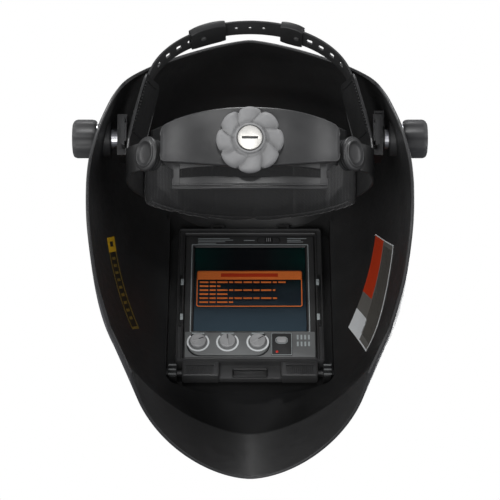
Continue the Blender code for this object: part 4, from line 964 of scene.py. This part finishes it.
def build_pivots():
    for side, s in (("left", -1), ("right", 1)):
        dress("pivot_bolt_" + side, "steel", 0.4)
        dress("friction_bush_" + side, "steel", 0.5)
        dress("clamp_washer_" + side, "steel", 0.4)
        dress("slide_block_" + side, "block", 0.9)
        dress("side_plate_" + side, "block", 0.3)
        profile = ((0, 12.9), (0.6, 13.7), (1.6, 14.4), (4, 14.9), (15.2, 14.9), (17.2, 14.3), (18.4, 13.3),
                   (19, 12.2), (19, 11.6), (18.3, 11), (18.1, 10.2))
        sections = []
        for x, r in profile:
            ring = []
            for i in range(96):
                a = 2 * math.pi * i / 96
                grip = 0.85 * math.copysign(abs(math.cos(8 * a)) ** 0.6, math.cos(8 * a)) if r > 12.4 else 0
                ring.append((s * x, (r + grip) * math.cos(a), (r + grip) * math.sin(a)))
            sections.append(ring)
        body = "side_knob_" + side
        bore = along_x(circle(4.4, 32), ((s * -2, 1), (s * 16.6, 1)))
        piece("clamp_knob_" + side, loft(sections), "side_knob", body, BAND, (s * 122, 0, 0), (body,),
              "knob_plastic", 50, steps=[cut(bore, BAND, (s * 122, 0, 0))])
    dress("tilt_stop", "gear", 0.4)


# ---- headband ----


def front_point(angle, offset):
    a = math.radians(angle)
    normal = Vector((math.cos(a) / HEAD_A, math.sin(a) / HEAD_FRONT)).normalized()
    return (HEAD_A * math.cos(a) + offset * normal.x, HEAD_Y + HEAD_FRONT * math.sin(a) + offset * normal.y)


def band_point(angle, offset):
    if 0 <= angle <= 180:
        return front_point(angle, offset)
    a = math.radians(angle)
    return ((HEAD_A + offset) * math.cos(a), HEAD_Y + (TAIL_B + offset - BAND_OFFSET) * math.sin(a))


def rear_point(angle, a, b):
    r = math.radians(angle)
    x = math.copysign(abs(math.cos(r)) ** (2 / 2.6), math.cos(r)) * a
    return (x, HEAD_Y - b * abs(math.sin(r)) ** (2 / 2.6))


RISER = ((4.0, -4), (4.35, 30), (4.7, 43), (5.3, 47.5), (6.2, 49.4), (7.5, 50), (22.5, 50), (23.8, 49.4),
         (24.7, 47.5), (25.3, 43), (25.6, 30), (25.9, -4))


def riser_height(angle):
    reach = min(angle, 180 - angle)
    if reach <= RISER[0][0]:
        return -16 + 12 * min(1, max(0, reach / RISER[0][0])) if reach > 0 else -16
    return float(np.interp(reach, [r[0] for r in RISER], [r[1] for r in RISER]))


def band_bottom(angle):
    reach = min(angle, 180 - angle)
    return -42 if reach > 0 else -42 + min(4, -reach / 4)


def stud_frame(s):
    turn = Matrix.Rotation(math.radians(-(90 - STUD_ANGLE)), 4, "Z")
    if s < 0:
        turn = Matrix.Rotation(math.radians(180 + 90 - STUD_ANGLE), 4, "Z")
    x, y, z = STUD
    return BAND @ Matrix.Translation(Vector((s * x, y, z)) * MM) @ turn


def build_headband():
    half = list(np.linspace(-32, 3.4, 22)) + [r[0] for r in RISER[:5]] + list(np.linspace(7.5, 22.5, 11))
    half += [r[0] for r in RISER[7:]] + list(np.linspace(27, 88, 30))
    angles = half + [90] + [180 - a for a in reversed(half)]
    sections = []
    for angle in angles:
        low, high = band_bottom(angle), riser_height(angle)
        section = []
        ring = soft_section(BAND_OFFSET, BAND_OFFSET + BAND_THICK, low, high, 0.85)
        extra = []
        for k, (o, z) in enumerate(ring):
            extra.append((o, z))
            o2, z2 = ring[(k + 1) % len(ring)]
            if abs(z2 - z) > 10 and low < 0 < high:
                extra.append(((o + o2) / 2, 0.0))
            elif abs(z2 - z) > 5:
                extra.append(((o + o2) / 2, (z + z2) / 2))
        for o, z in extra:
            x, y = band_point(angle, o)
            section.append((x - math.copysign(RISER_LEAN * max(z, 0), x), y, z))
        sections.append(section)
    steps = []
    for s in (-1, 1):
        tab = spun_x(((-7.2, 11.4), (-6.8, 12), (-5.6, 12), (-5.2, 11.4)), 48)
        steps.append(join(tab, stud_frame(s)))
        steps.append(cut(along_x(circle(4.4, 32), ((-12, 1), (0, 1))), stud_frame(s)))
    piece("band", loft(sections), "gear", "headgear", BAND, replaces=("headband",), slot="gear_plastic",
          steps=steps)
    for side, s in (("left", -1), ("right", 1)):
        build_riser_details(side, s)


def build_riser_details(side, s):
    """Ridged edge and pocket lip that stand on the riser's inner face."""
    teeth = []
    for i in range(15):
        z = 6 + i * 2.6
        angle = 6.6 if s > 0 else 180 - 6.6
        x, y = band_point(angle, BAND_OFFSET - 0.4)
        x -= math.copysign(RISER_LEAN * z, x)
        teeth.append(soft_box(x - 0.5, x + 0.7, y - 1.6, y + 1.6, z - 0.75, z + 0.75, 0.3))
    piece("riser_rack_" + side, merged(teeth), "gear", "headgear", BAND, slot="gear_plastic")
    inset = 8.4
    for label, z0, z1 in (("top", 44.6, 46.2), ("low", 3.2, 4.6)):
        sections = []
        for angle in np.linspace(inset, 30 - inset, 9):
            angle = angle if s > 0 else 180 - angle
            section = []
            for o, z in soft_section(BAND_OFFSET - 0.8, BAND_OFFSET + 0.6, z0, z1, 0.5, 2):
                x, y = band_point(angle, o)
                section.append((x - math.copysign(RISER_LEAN * z, x), y, z))
            sections.append(section)
        name = "riser_rib_%s_%s" % (label, side)
        piece(name, loft(sections), "gear", "headgear", BAND, slot="gear_plastic")


def build_studs():
    dish = ((-4.2, 12.6), (-3.8, 13.3), (-3.0, 13.5), (-1.9, 13.3), (-1.2, 12.6), (-1.0, 11.6), (-0.9, 10.8),
            (-0.2, 10.5), (0, 9.8), (-0.3, 9.0), (-1.3, 8.3), (-1.9, 6.8), (-2.1, 4.0), (-2.15, 1.0))
    for side, s in (("left", -1), ("right", 1)):
        steps = [join(along_x(circle(4.0, 32), ((-12, 1), (-3, 1))), stud_frame(s)),
                 join(along_x(circle(6.5, 32), ((-13, 1), (-11.5, 1))), stud_frame(s))]
        name = "swivel_stud_" + side
        piece("swivel_disc_" + side, spun_x(dish), "pad_cover", "headgear", stud_frame(s), replaces=(name,),
              slot="gear_plastic", steps=steps)


# ---- straps ----


def crown_point(x):
    rise = math.sqrt(max(0.0, 1 - (x / CROWN_A) ** 2))
    point = Vector((x, -5 - 5 * rise, CROWN_Z + CROWN_H * rise))
    return point, Vector((x / CROWN_A**2, 0, (point.z - CROWN_Z) / CROWN_H**2)).normalized()


def crown_stations(x0, x1, count):
    a0, a1 = math.acos(x0 / CROWN_A), math.acos(x1 / CROWN_A)
    return [CROWN_A * math.cos(a0 + (a1 - a0) * i / count) for i in range(count + 1)]


def ribbon(frames, widths, across, lift, thick, r=0.55):
    """Strap with rounded edges through (point, normal) frames; widths is one width or one for each frame."""
    sections = []
    for i, (point, normal) in enumerate(frames):
        width = widths[i] if isinstance(widths, (list, tuple)) else widths
        ring = soft_section(-width / 2, width / 2, lift, lift + thick, r)
        sections.append([tuple(point + across * u + normal * v) for u, v in ring])
    return loft(sections)


def hole_cutters(xs, size, lift, round_hole=False):
    cutters = []
    for x in xs:
        point, normal = crown_point(x)
        tangent = ACROSS.cross(normal).normalized()
        ring = circle(size / 2, 24) if round_hole else rounded(size, size, 0.9, 4)
        sections = []
        for h, k in ((-6, 1), (6, 1)):
            middle = point + normal * (h + lift)
            sections.append([tuple(middle + tangent * u * k + ACROSS * v * k) for u, v in ring])
        cutters.append(loft(sections))
    return merged(cutters)


def build_crown():
    holes = (73.9, 66.6, 58, 48.7, 38.5, 28.5)
    for side, s, end in (("left", -1, 20), ("right", 1, 25)):
        frames = [crown_point(x) for x in crown_stations(s * 82.3, s * end, 60)]
        body = ribbon(frames, 17.5, ACROSS, -0.75, 1.5)
        cutters = hole_cutters([s * x for x in holes], 4.6, 0)
        piece("crown_" + side, body, "strap", "headgear", replaces=("crown_strap_" + side,),
              slot="strap_plastic", steps=[cut(cutters)])
    frames = [crown_point(x) for x in crown_stations(-46, 43, 60)]
    widths = [16.5 * min(1, 0.55 + 0.09 * min(i, 60 - i)) for i in range(61)]
    cutters = hole_cutters((-11, 0, 11), 3, 1.8, True)
    piece("crown_centre", ribbon(frames, widths, ACROSS, 1.1, 1.5), "strap", "headgear",
          replaces=("crown_strap_centre",), slot="strap_plastic",
          steps=[cut(cutters)])
    for side, s, reach in (("left", -1, 14), ("right", 1, 9)):
        xs = np.linspace(-reach, reach, 15)
        frames = [crown_point(s * 34 + d) for d in xs]
        widths = [21.6 - 3.2 * abs(d / reach) ** 3 for d in xs]
        slot_frames = [crown_point(s * 34 + d) for d in np.linspace(-reach - 4, reach + 4, 9)]
        cutter = ribbon(slot_frames, 18.2, ACROSS, -1.1, 4.0, 0.2)
        piece("keeper_" + side, ribbon(frames, widths, ACROSS, -2.3, 6.2, 1.2), "gear", "headgear",
              replaces=("strap_keeper_" + side,), slot="gear_plastic",
              steps=[cut(cutter)])
        peg, normal = crown_point(s * 38.5)
        place = Matrix.Translation(PIVOT + peg * MM) @ normal.to_track_quat("Y", "Z").to_matrix().to_4x4()
        stem = spun_y(((-3.4, 1.7), (-3.0, 2.1), (-2.4, 2.2), (4.1, 2.0), (4.6, 1.6)), 24)
        piece("strap_peg_" + side, stem, "side_knob", "headgear", place, slot="gear_plastic")


def brow_point(x):
    def height(reach):
        return max(0.0, 1 - (reach / BROW_A) ** BROW_POWER) ** (1 / BROW_POWER)

    rise, step = height(abs(x)), 0.5
    slope = (height(abs(x) + step) - rise) * 82 / step
    lean = math.copysign(-slope, x) if abs(x) > 1 else 0
    normal = (Vector((0, 0.73, 0.68)) + Vector((lean, 0, 0))).normalized()
    return Vector((x, 15 + 60 * rise, 5 + 56 * rise)), normal


def build_brow():
    for side, s in (("left", -1), ("right", 1)):
        lift = 0 if s < 0 else -1.8
        frames = [brow_point(x) for x in np.linspace(s * 79, s * -18, 56)]
        piece("brow_" + side, ribbon(frames, 13, FRONT_ACROSS, lift, 1.5), "strap", "headgear",
              replaces=("brow_strap_" + side,), slot="strap_plastic")
        frames = [brow_point(s * 36 + d) for d in np.linspace(-9, 9, 12)]
        clip = ribbon(frames, 14.5, FRONT_ACROSS, lift + 0.9, 2.6, 0.9)
        piece("brow_clip_" + side, clip, "gear", "headgear", slot="strap_plastic")


# ---- rear cradle ----


def cradle_heights(angle):
    reach = min(angle, 180 - angle)
    full = min(1.0, max(0.0, (reach - 30) / 14))
    full = full * full * (3 - 2 * full)
    return (-37 + (-44 + 37) * full, -17 + (-4 + 17) * full)


def rear_strip(angles, inner, outer, heights, r=0.7):
    sections = []
    for angle in angles:
        low, high = heights(angle)
        section = []
        for share, z in soft_section(0, outer[0] - inner[0], low, high, r):
            section.append((*rear_point(angle, inner[0] + share, inner[1] + share), z))
        sections.append(section)
    return loft(sections)


def nape_heights(angle):
    dip = math.sin(math.radians((min(angle, 180 - angle) - 42) / 48 * 90))
    return (-58 - 4 * dip, -49 - 3 * dip)


def nape_edge(shift):
    """Heights of a wavy line along the nape bar, shift above its lower edge."""
    def heights(angle):
        wave = 0.9 * math.cos(math.radians((angle - 90) * 5.2))
        middle = nape_heights(angle)[0] + shift + wave * 0.5
        return (middle - 0.75, middle + 0.75)

    return heights


def build_cradle():
    strip = rear_strip(np.linspace(27, 153, 90), (71, 67.8), (73.1, 69.9), cradle_heights)
    steps = []
    for start in (43.1, 130.9):
        angles = np.linspace(start, start + 6, 6)
        post = rear_strip(angles, (70.8, 67.6), (73.3, 70.1), lambda angle: (-57, -40), 0.3)
        steps.append(join(post, BAND))
    for s in (-1, 1):
        tab = spun_x(((-10.9, 11.4), (-10.5, 12), (-8.5, 12), (-8.1, 11.4)), 48)
        steps.append(join(tab, stud_frame(s)))
        steps.append(cut(along_x(circle(4.8, 32), ((-14, 1), (0, 1))), stud_frame(s)))
    piece("cradle_inner", strip, "gear", "cradle", BAND, replaces=("cradle_base",), slot="gear_plastic",
          steps=steps)
    bar = rear_strip(np.linspace(41.5, 138.5, 90), (70.5, 67.3), (73.2, 70.0), nape_heights, 1.2)
    piece("nape_bar", bar, "gear", "cradle", BAND, slot="gear_plastic")
    for name, shift in (("low", 0.9), ("mid", 3.3)):
        angles = np.linspace(43.5, 136.5, 90)
        lip = rear_strip(angles, (72.6, 69.4), (74.6, 71.4), nape_edge(shift), 0.7)
        piece("nape_lip_" + name, lip, "pad_cover", "cradle", BAND, slot="gear_plastic")
    build_cover()
    dress("detent_ring", "gear", 0.2)


def build_cover():
    sections = []
    for angle in np.linspace(36, 144, 100):
        x = abs(rear_point(angle, 78, 76.2)[0])
        half = 22.5 - 8 * (x / 64) ** 2
        end = min(1.0, (min(angle, 180 - angle) - 36) / 5)
        half -= 5 * (1 - math.sqrt(max(0, 1 - (1 - end) ** 2)))
        low, high = -23.6 - half, -23.6 + half
        outside = (80, 78.2)
        section = []
        for inset, dz in ((-4.2, 0), (-1.6, 0), (-0.5, 0.25), (0, 0.9), (-0.1, 1.8), (-0.45, 2.4)):
            section.append((*rear_point(angle, outside[0] + inset, outside[1] + inset), high - dz))
        for inset, dz in ((-0.45, 2.4), (-0.1, 1.8), (0, 0.9), (-0.5, 0.25), (-1.6, 0), (-4.2, 0)):
            section.append((*rear_point(angle, outside[0] + inset, outside[1] + inset), low + dz))
        for inset, z in ((-4.2, low + 1.8), (-2.2, low + 2.4), (-2.2, high - 2.4), (-4.2, high - 1.8)):
            section.append((*rear_point(angle, outside[0] + inset, outside[1] + inset), z))
        sections.append(section)
    hole = along_y(circle(3.2, 24), ((-120, 1), (-90, 1)))
    piece("cradle_shell", loft(sections), "pad_cover", "cradle", BAND, replaces=("cradle_cover",),
          slot="gear_plastic", steps=[cut(hole, BAND, (0, 0, KNOB_Z))])


def build_ratchet():
    at = (0, 0, KNOB_Z)
    count = 240

    def outline(a):
        return 22.6 + 2.1 * abs(math.cos(4 * a)) ** 0.7

    sections = []
    for k in range(22):
        u = k / 21
        ring = []
        for i in range(count):
            a = 2 * math.pi * i / count
            r = 10.2 + (outline(a) - 10.2) * u
            b = a - 0.34 * (1 - u) ** 1.2
            groove = 1 - abs(math.cos(4 * b)) ** 0.75
            rim = 2.2 * max(0, (u - 0.8) / 0.2) ** 2.5
            well = 1.6 * max(0, 1 - abs(u - 0.16) / 0.14)
            drop = 0.4 + 0.9 * u**2 + 4.2 * groove**1.3 * min(1, 0.2 + u) + rim + well
            ring.append((r * math.cos(a), -121 + drop, r * math.sin(a)))
        sections.append(ring)
    for y, k in ((-115.6, 1.01), (-112.5, 1.0), (-110.2, 0.97), (-108.8, 0.92)):
        sections.append([(k * outline(2 * math.pi * i / count) * math.cos(2 * math.pi * i / count), y,
                          k * outline(2 * math.pi * i / count) * math.sin(2 * math.pi * i / count))
                         for i in range(count)])
    bore = along_y(circle(2.8, 24), ((-115.4, 1), (-100, 1)))
    piece("ratchet_dial", loft(sections), "knob", "ratchet", BAND, at, ("ratchet_knob",), "knob_plastic", 42,
          steps=[cut(bore, BAND, at)])
    rim = spun_y(((-120.2, 11.4), (-121.4, 11.3), (-121.9, 10.8), (-121.9, 9.9), (-120.9, 9.6),
                  (-120.2, 9.6)), 72)
    piece("ratchet_collar", rim, "knob", "ratchet", BAND, at, slot="knob_plastic")
    cap = spun_y(((-120.9, 9.2), (-122.2, 9.2), (-122.7, 8.9), (-122.9, 8.3)), 72)
    slot = box(-6, 6, -124, -121.9, -1.0, 1.0)
    piece("ratchet_disc", cap, "cap", "ratchet", BAND, at, ("ratchet_cap",), "steel",
          steps=[cut(slot, BAND, at)])
    # Painted shade: a black sheet at the bottom of the cap's screwdriver slot.
    well = soft_box(-5.9, 5.9, -121.97, -121.6, -0.95, 0.95, 0.1)
    piece("slot_shade", well, "black", "ratchet", BAND, at, slot="steel")
    for node in ("pinion", "rack_left", "rack_right"):
        dress(node, "knob")


# ---- soft pads ----


def simulate(obj, voxel, pressure, cap):
    """Swells a closed pad as pressurised cloth, then holds every point within cap of where it started."""
    mod = obj.modifiers.new("remesh", "REMESH")
    mod.mode = "VOXEL"
    mod.voxel_size = voxel
    bake(obj)
    start = coordinates(obj)
    cloth = obj.modifiers.new("cloth", "CLOTH")
    cloth.settings.use_pressure = True
    cloth.settings.uniform_pressure_force = pressure
    cloth.settings.effector_weights.gravity = 0
    cloth.settings.quality = 5
    cloth.settings.mass = 0.2
    cloth.settings.tension_stiffness = 20
    cloth.settings.compression_stiffness = 20
    for number in range(1, 21):
        bpy.context.scene.frame_set(number)
    bake(obj)
    moved = coordinates(obj) - start
    length = np.maximum(1e-9, np.linalg.norm(moved, axis=1))
    moved *= np.minimum(1, cap / length)[:, None]
    put_coordinates(obj, start + moved)
    bpy.context.scene.frame_set(1)
    return obj


def bake(obj):
    bpy.context.view_layer.update()
    made = bpy.data.meshes.new_from_object(obj.evaluated_get(bpy.context.evaluated_depsgraph_get()))
    obj.modifiers.clear()
    obj.data = made


def coordinates(obj):
    co = np.zeros(len(obj.data.vertices) * 3)
    obj.data.vertices.foreach_get("co", co)
    return co.reshape(-1, 3)


def put_coordinates(obj, points):
    obj.data.vertices.foreach_set("co", points.astype(np.float32).ravel())
    obj.data.update()


def hold_inside(obj, outline, low, high):
    """Keeps each point's offset from the head outline between low and high, in millimetres."""
    back = BAND.inverted()
    local = np.array([back @ Vector(p) for p in coordinates(obj)]) / MM
    angles = np.linspace(2, 178, 705)
    ring = np.array([outline(a, 0) for a in angles])
    out = np.array([outline(a, 1) for a in angles]) - ring
    out /= np.linalg.norm(out, axis=1)[:, None]
    for point in local:
        k = int(np.argmin(np.sum((ring - point[:2]) ** 2, axis=1)))
        offset = float((point[:2] - ring[k]) @ out[k])
        point[:2] += out[k] * (min(high, max(low, offset)) - offset)
    put_coordinates(obj, np.array([BAND @ (Vector(p) * MM) for p in local]))


def subdivide(obj):
    mod = obj.modifiers.new("smooth", "SUBSURF")
    mod.levels = mod.render_levels = 1
    bake(obj)


def signed_power(value, power):
    return math.copysign(abs(value) ** power, value)


def pad_sections(angles, outline, low, high, offsets, pinch):
    """Closed sections of a pad that follows outline(angle, offset) between the heights low and high."""
    sections = []
    for i, angle in enumerate(angles):
        edge = 0.55 if i in (0, len(angles) - 1) else 1
        puff = pinch(angle)
        section = []
        middle = (offsets[0] + offsets[1]) / 2
        half = (offsets[1] - offsets[0]) / 2 * edge * puff
        bottom, top = low(angle), high(angle)
        for a in np.linspace(0, 2 * math.pi, 24, endpoint=False):
            z = (bottom + top) / 2 + (top - bottom) / 2 * signed_power(math.sin(a), 0.35) * edge
            o = middle + half * signed_power(math.cos(a), 0.7)
            section.append((*outline(angle, o), z))
        sections.append(section)
    return sections


def channels(angle):
    """Thickness of a pad, pinched every 22 degrees by a stitched channel."""
    return 1 - 0.3 * math.exp(-((((angle + 11) % 22) - 11) / 1.6) ** 2)


def nape_outline(angle, offset):
    return rear_point(angle, 66 + offset, 62.4 + offset)


def build_pads():
    sections = pad_sections(np.linspace(24, 156, 90), front_point, lambda a: -49,
                            lambda a: 5 * math.sin(math.radians(a)) ** 4 - 1, (0.7, 6.0), channels)
    pad = raw("brow_pad", loft(sections), BAND)
    simulate(pad, 0.0021, 4.0, 0.0016)
    hold_inside(pad, front_point, -1.4, 6.3)
    subdivide(pad)
    finish_piece(pad, "foam", "headgear", ("sweatband",), 80)
    seam = []
    for angle in np.linspace(26, 154, 120):
        ring = []
        for o, z in soft_section(-0.5, 0.5, -0.5, 0.5, 0.48, 2):
            ring.append((*front_point(angle, 0.4 + o), -46.0 + z))
        seam.append(ring)
    piece("brow_pad_seam", loft(seam), "thread", "headgear", BAND, slot="foam_fabric")
    sections = pad_sections(np.linspace(46, 134, 50), nape_outline, lambda a: -41, lambda a: -8,
                            (0.5, 4.3), channels)
    pad = raw("nape_cushion", loft(sections), BAND)
    simulate(pad, 0.0021, 3.0, 0.0008)
    subdivide(pad)
    finish_piece(pad, "foam", "cradle", ("nape_pad",), 80)


# ---- light, floor and camera ----


def build_stage():
    low = CAD_BOX[0]
    size = 3.0
    bm = bmesh.new()
    corners = ((-size, -size), (size, -size), (size, size), (-size, size))
    bm.faces.new([bm.verts.new((x, y, low.z - 0.001)) for x, y in corners])
    mesh = bpy.data.meshes.new("floor")
    bm.to_mesh(mesh)
    bm.free()
    floor = bpy.data.objects.new("floor", mesh)
    bpy.context.scene.collection.objects.link(floor)
    look = Look("floor_pale")
    tone = look.mix(look.noise(3, 2), (0.86, 0.86, 0.86, 1), (0.9, 0.9, 0.9, 1))
    look.set(Base_Color=tone, Roughness=0.8)
    clear = look.node("ShaderNodeBsdfTransparent")
    blend = look.node("ShaderNodeMixShader")
    facing = look.node("ShaderNodeNewGeometry").outputs["Backfacing"]
    seen = look.node("ShaderNodeLightPath").outputs["Is Camera Ray"]
    show = look.math("MULTIPLY", seen, look.math("SUBTRACT", 1.0, facing))
    look.put(blend.inputs[0], show)
    look.put(blend.inputs[1], clear.outputs[0])
    look.put(blend.inputs[2], look.shader.outputs[0])
    look.put(look.tree.nodes["Material Output"].inputs["Surface"], blend.outputs[0])
    mesh.materials.append(look.material)


def build_world():
    world = bpy.data.worlds.new("studio")
    bpy.context.scene.world = world
    world.use_nodes = True
    tree = world.node_tree
    back = tree.nodes["Background"]
    back.inputs[0].default_value = (0.9, 0.92, 1, 1)
    back.inputs[1].default_value = 0.3
    white = tree.nodes.new("ShaderNodeBackground")
    white.inputs[0].default_value = (1, 1, 1, 1)
    path = tree.nodes.new("ShaderNodeLightPath")
    blend = tree.nodes.new("ShaderNodeMixShader")
    tree.links.new(path.outputs["Is Camera Ray"], blend.inputs[0])
    tree.links.new(back.outputs[0], blend.inputs[1])
    tree.links.new(white.outputs[0], blend.inputs[2])
    tree.links.new(blend.outputs[0], tree.nodes["World Output"].inputs["Surface"])


def lamp(data, place, aim, power):
    """Hangs a light at place and turns it to aim, both in millimetres from the pivot."""
    data.energy = power
    made = bpy.data.objects.new(data.name, data)
    made.location = PIVOT + Vector(place) * MM
    made.rotation_mode = "QUATERNION"
    made.rotation_quaternion = ((Vector(aim) - Vector(place)).normalized()).to_track_quat("-Z", "Y")
    bpy.context.scene.collection.objects.link(made)


def area(name, place, aim, size, power):
    data = bpy.data.lights.new(name, "AREA")
    data.shape = "RECTANGLE"
    data.size, data.size_y = size
    lamp(data, place, aim, power)


def spot(name, place, aim, cone, power):
    """Narrow lamp; cone is the full angle in degrees."""
    data = bpy.data.lights.new(name, "SPOT")
    data.spot_size = math.radians(cone)
    data.spot_blend = 0.35
    data.shadow_soft_size = 0.06
    lamp(data, place, aim, power)


def build_lights():
    area("key", (-100, -700, 1650), (0, 100, -150), (0.32, 0.3), 20)
    area("fill", (-450, -1300, -1000), (0, 60, -60), (1.1, 0.9), 13)
    spot("window", (0, -1700, -150), (0, 174, -66), 6.6, 42)
    area("side_left", (-1300, -500, 100), (-80, 0, 0), (0.8, 1.4), 9)
    area("side_right", (1300, -500, 100), (80, 0, 0), (0.8, 1.4), 9)
    area("front", (300, 1600, 700), (0, 60, -60), (1.4, 1.2), 26)


def build_camera():
    data = bpy.data.cameras.new("camera")
    data.lens, data.sensor_width = CAMERA_LENS, CAMERA_SENSOR
    data.clip_start, data.clip_end = 0.05, 50
    camera = bpy.data.objects.new("camera", data)
    tilt = math.radians(CAMERA_TILT)
    ahead = Vector((0, math.cos(tilt), math.sin(tilt)))
    up = Vector((0, -math.sin(tilt), math.cos(tilt)))
    camera.location = PIVOT - ahead * CAMERA_BACK - up * CAMERA_DROP
    camera.rotation_mode = "QUATERNION"
    camera.rotation_quaternion = Matrix((Vector((1, 0, 0)), up, -ahead)).transposed().to_quaternion()
    bpy.context.scene.collection.objects.link(camera)
    bpy.context.scene.camera = camera
    bpy.context.scene.view_settings.view_transform = "Standard"


def main():
    build_shell()
    build_wall_labels()
    build_holder()
    build_latches()
    build_cartridge()
    build_controls()
    build_view_label()
    build_pivots()
    build_headband()
    build_studs()
    build_crown()
    build_brow()
    build_cradle()
    build_ratchet()
    build_pads()
    for node, look in (("front_cover_lens", "clear"), ("inner_cover_lens", "clear"), ("lcd_filter", "glass"),
                       ("circuit_board", "board"), ("solar_cell", "cell"), ("coin_cell", "steel"),
                       ("status_light", "lamp"), ("cartridge_front_case", "case")):
        dress(node, look)
    for i in range(4):
        dress("arc_sensor_%d" % (i + 1), "cell")
    build_stage()
    build_world()
    build_lights()
    build_camera()


main()
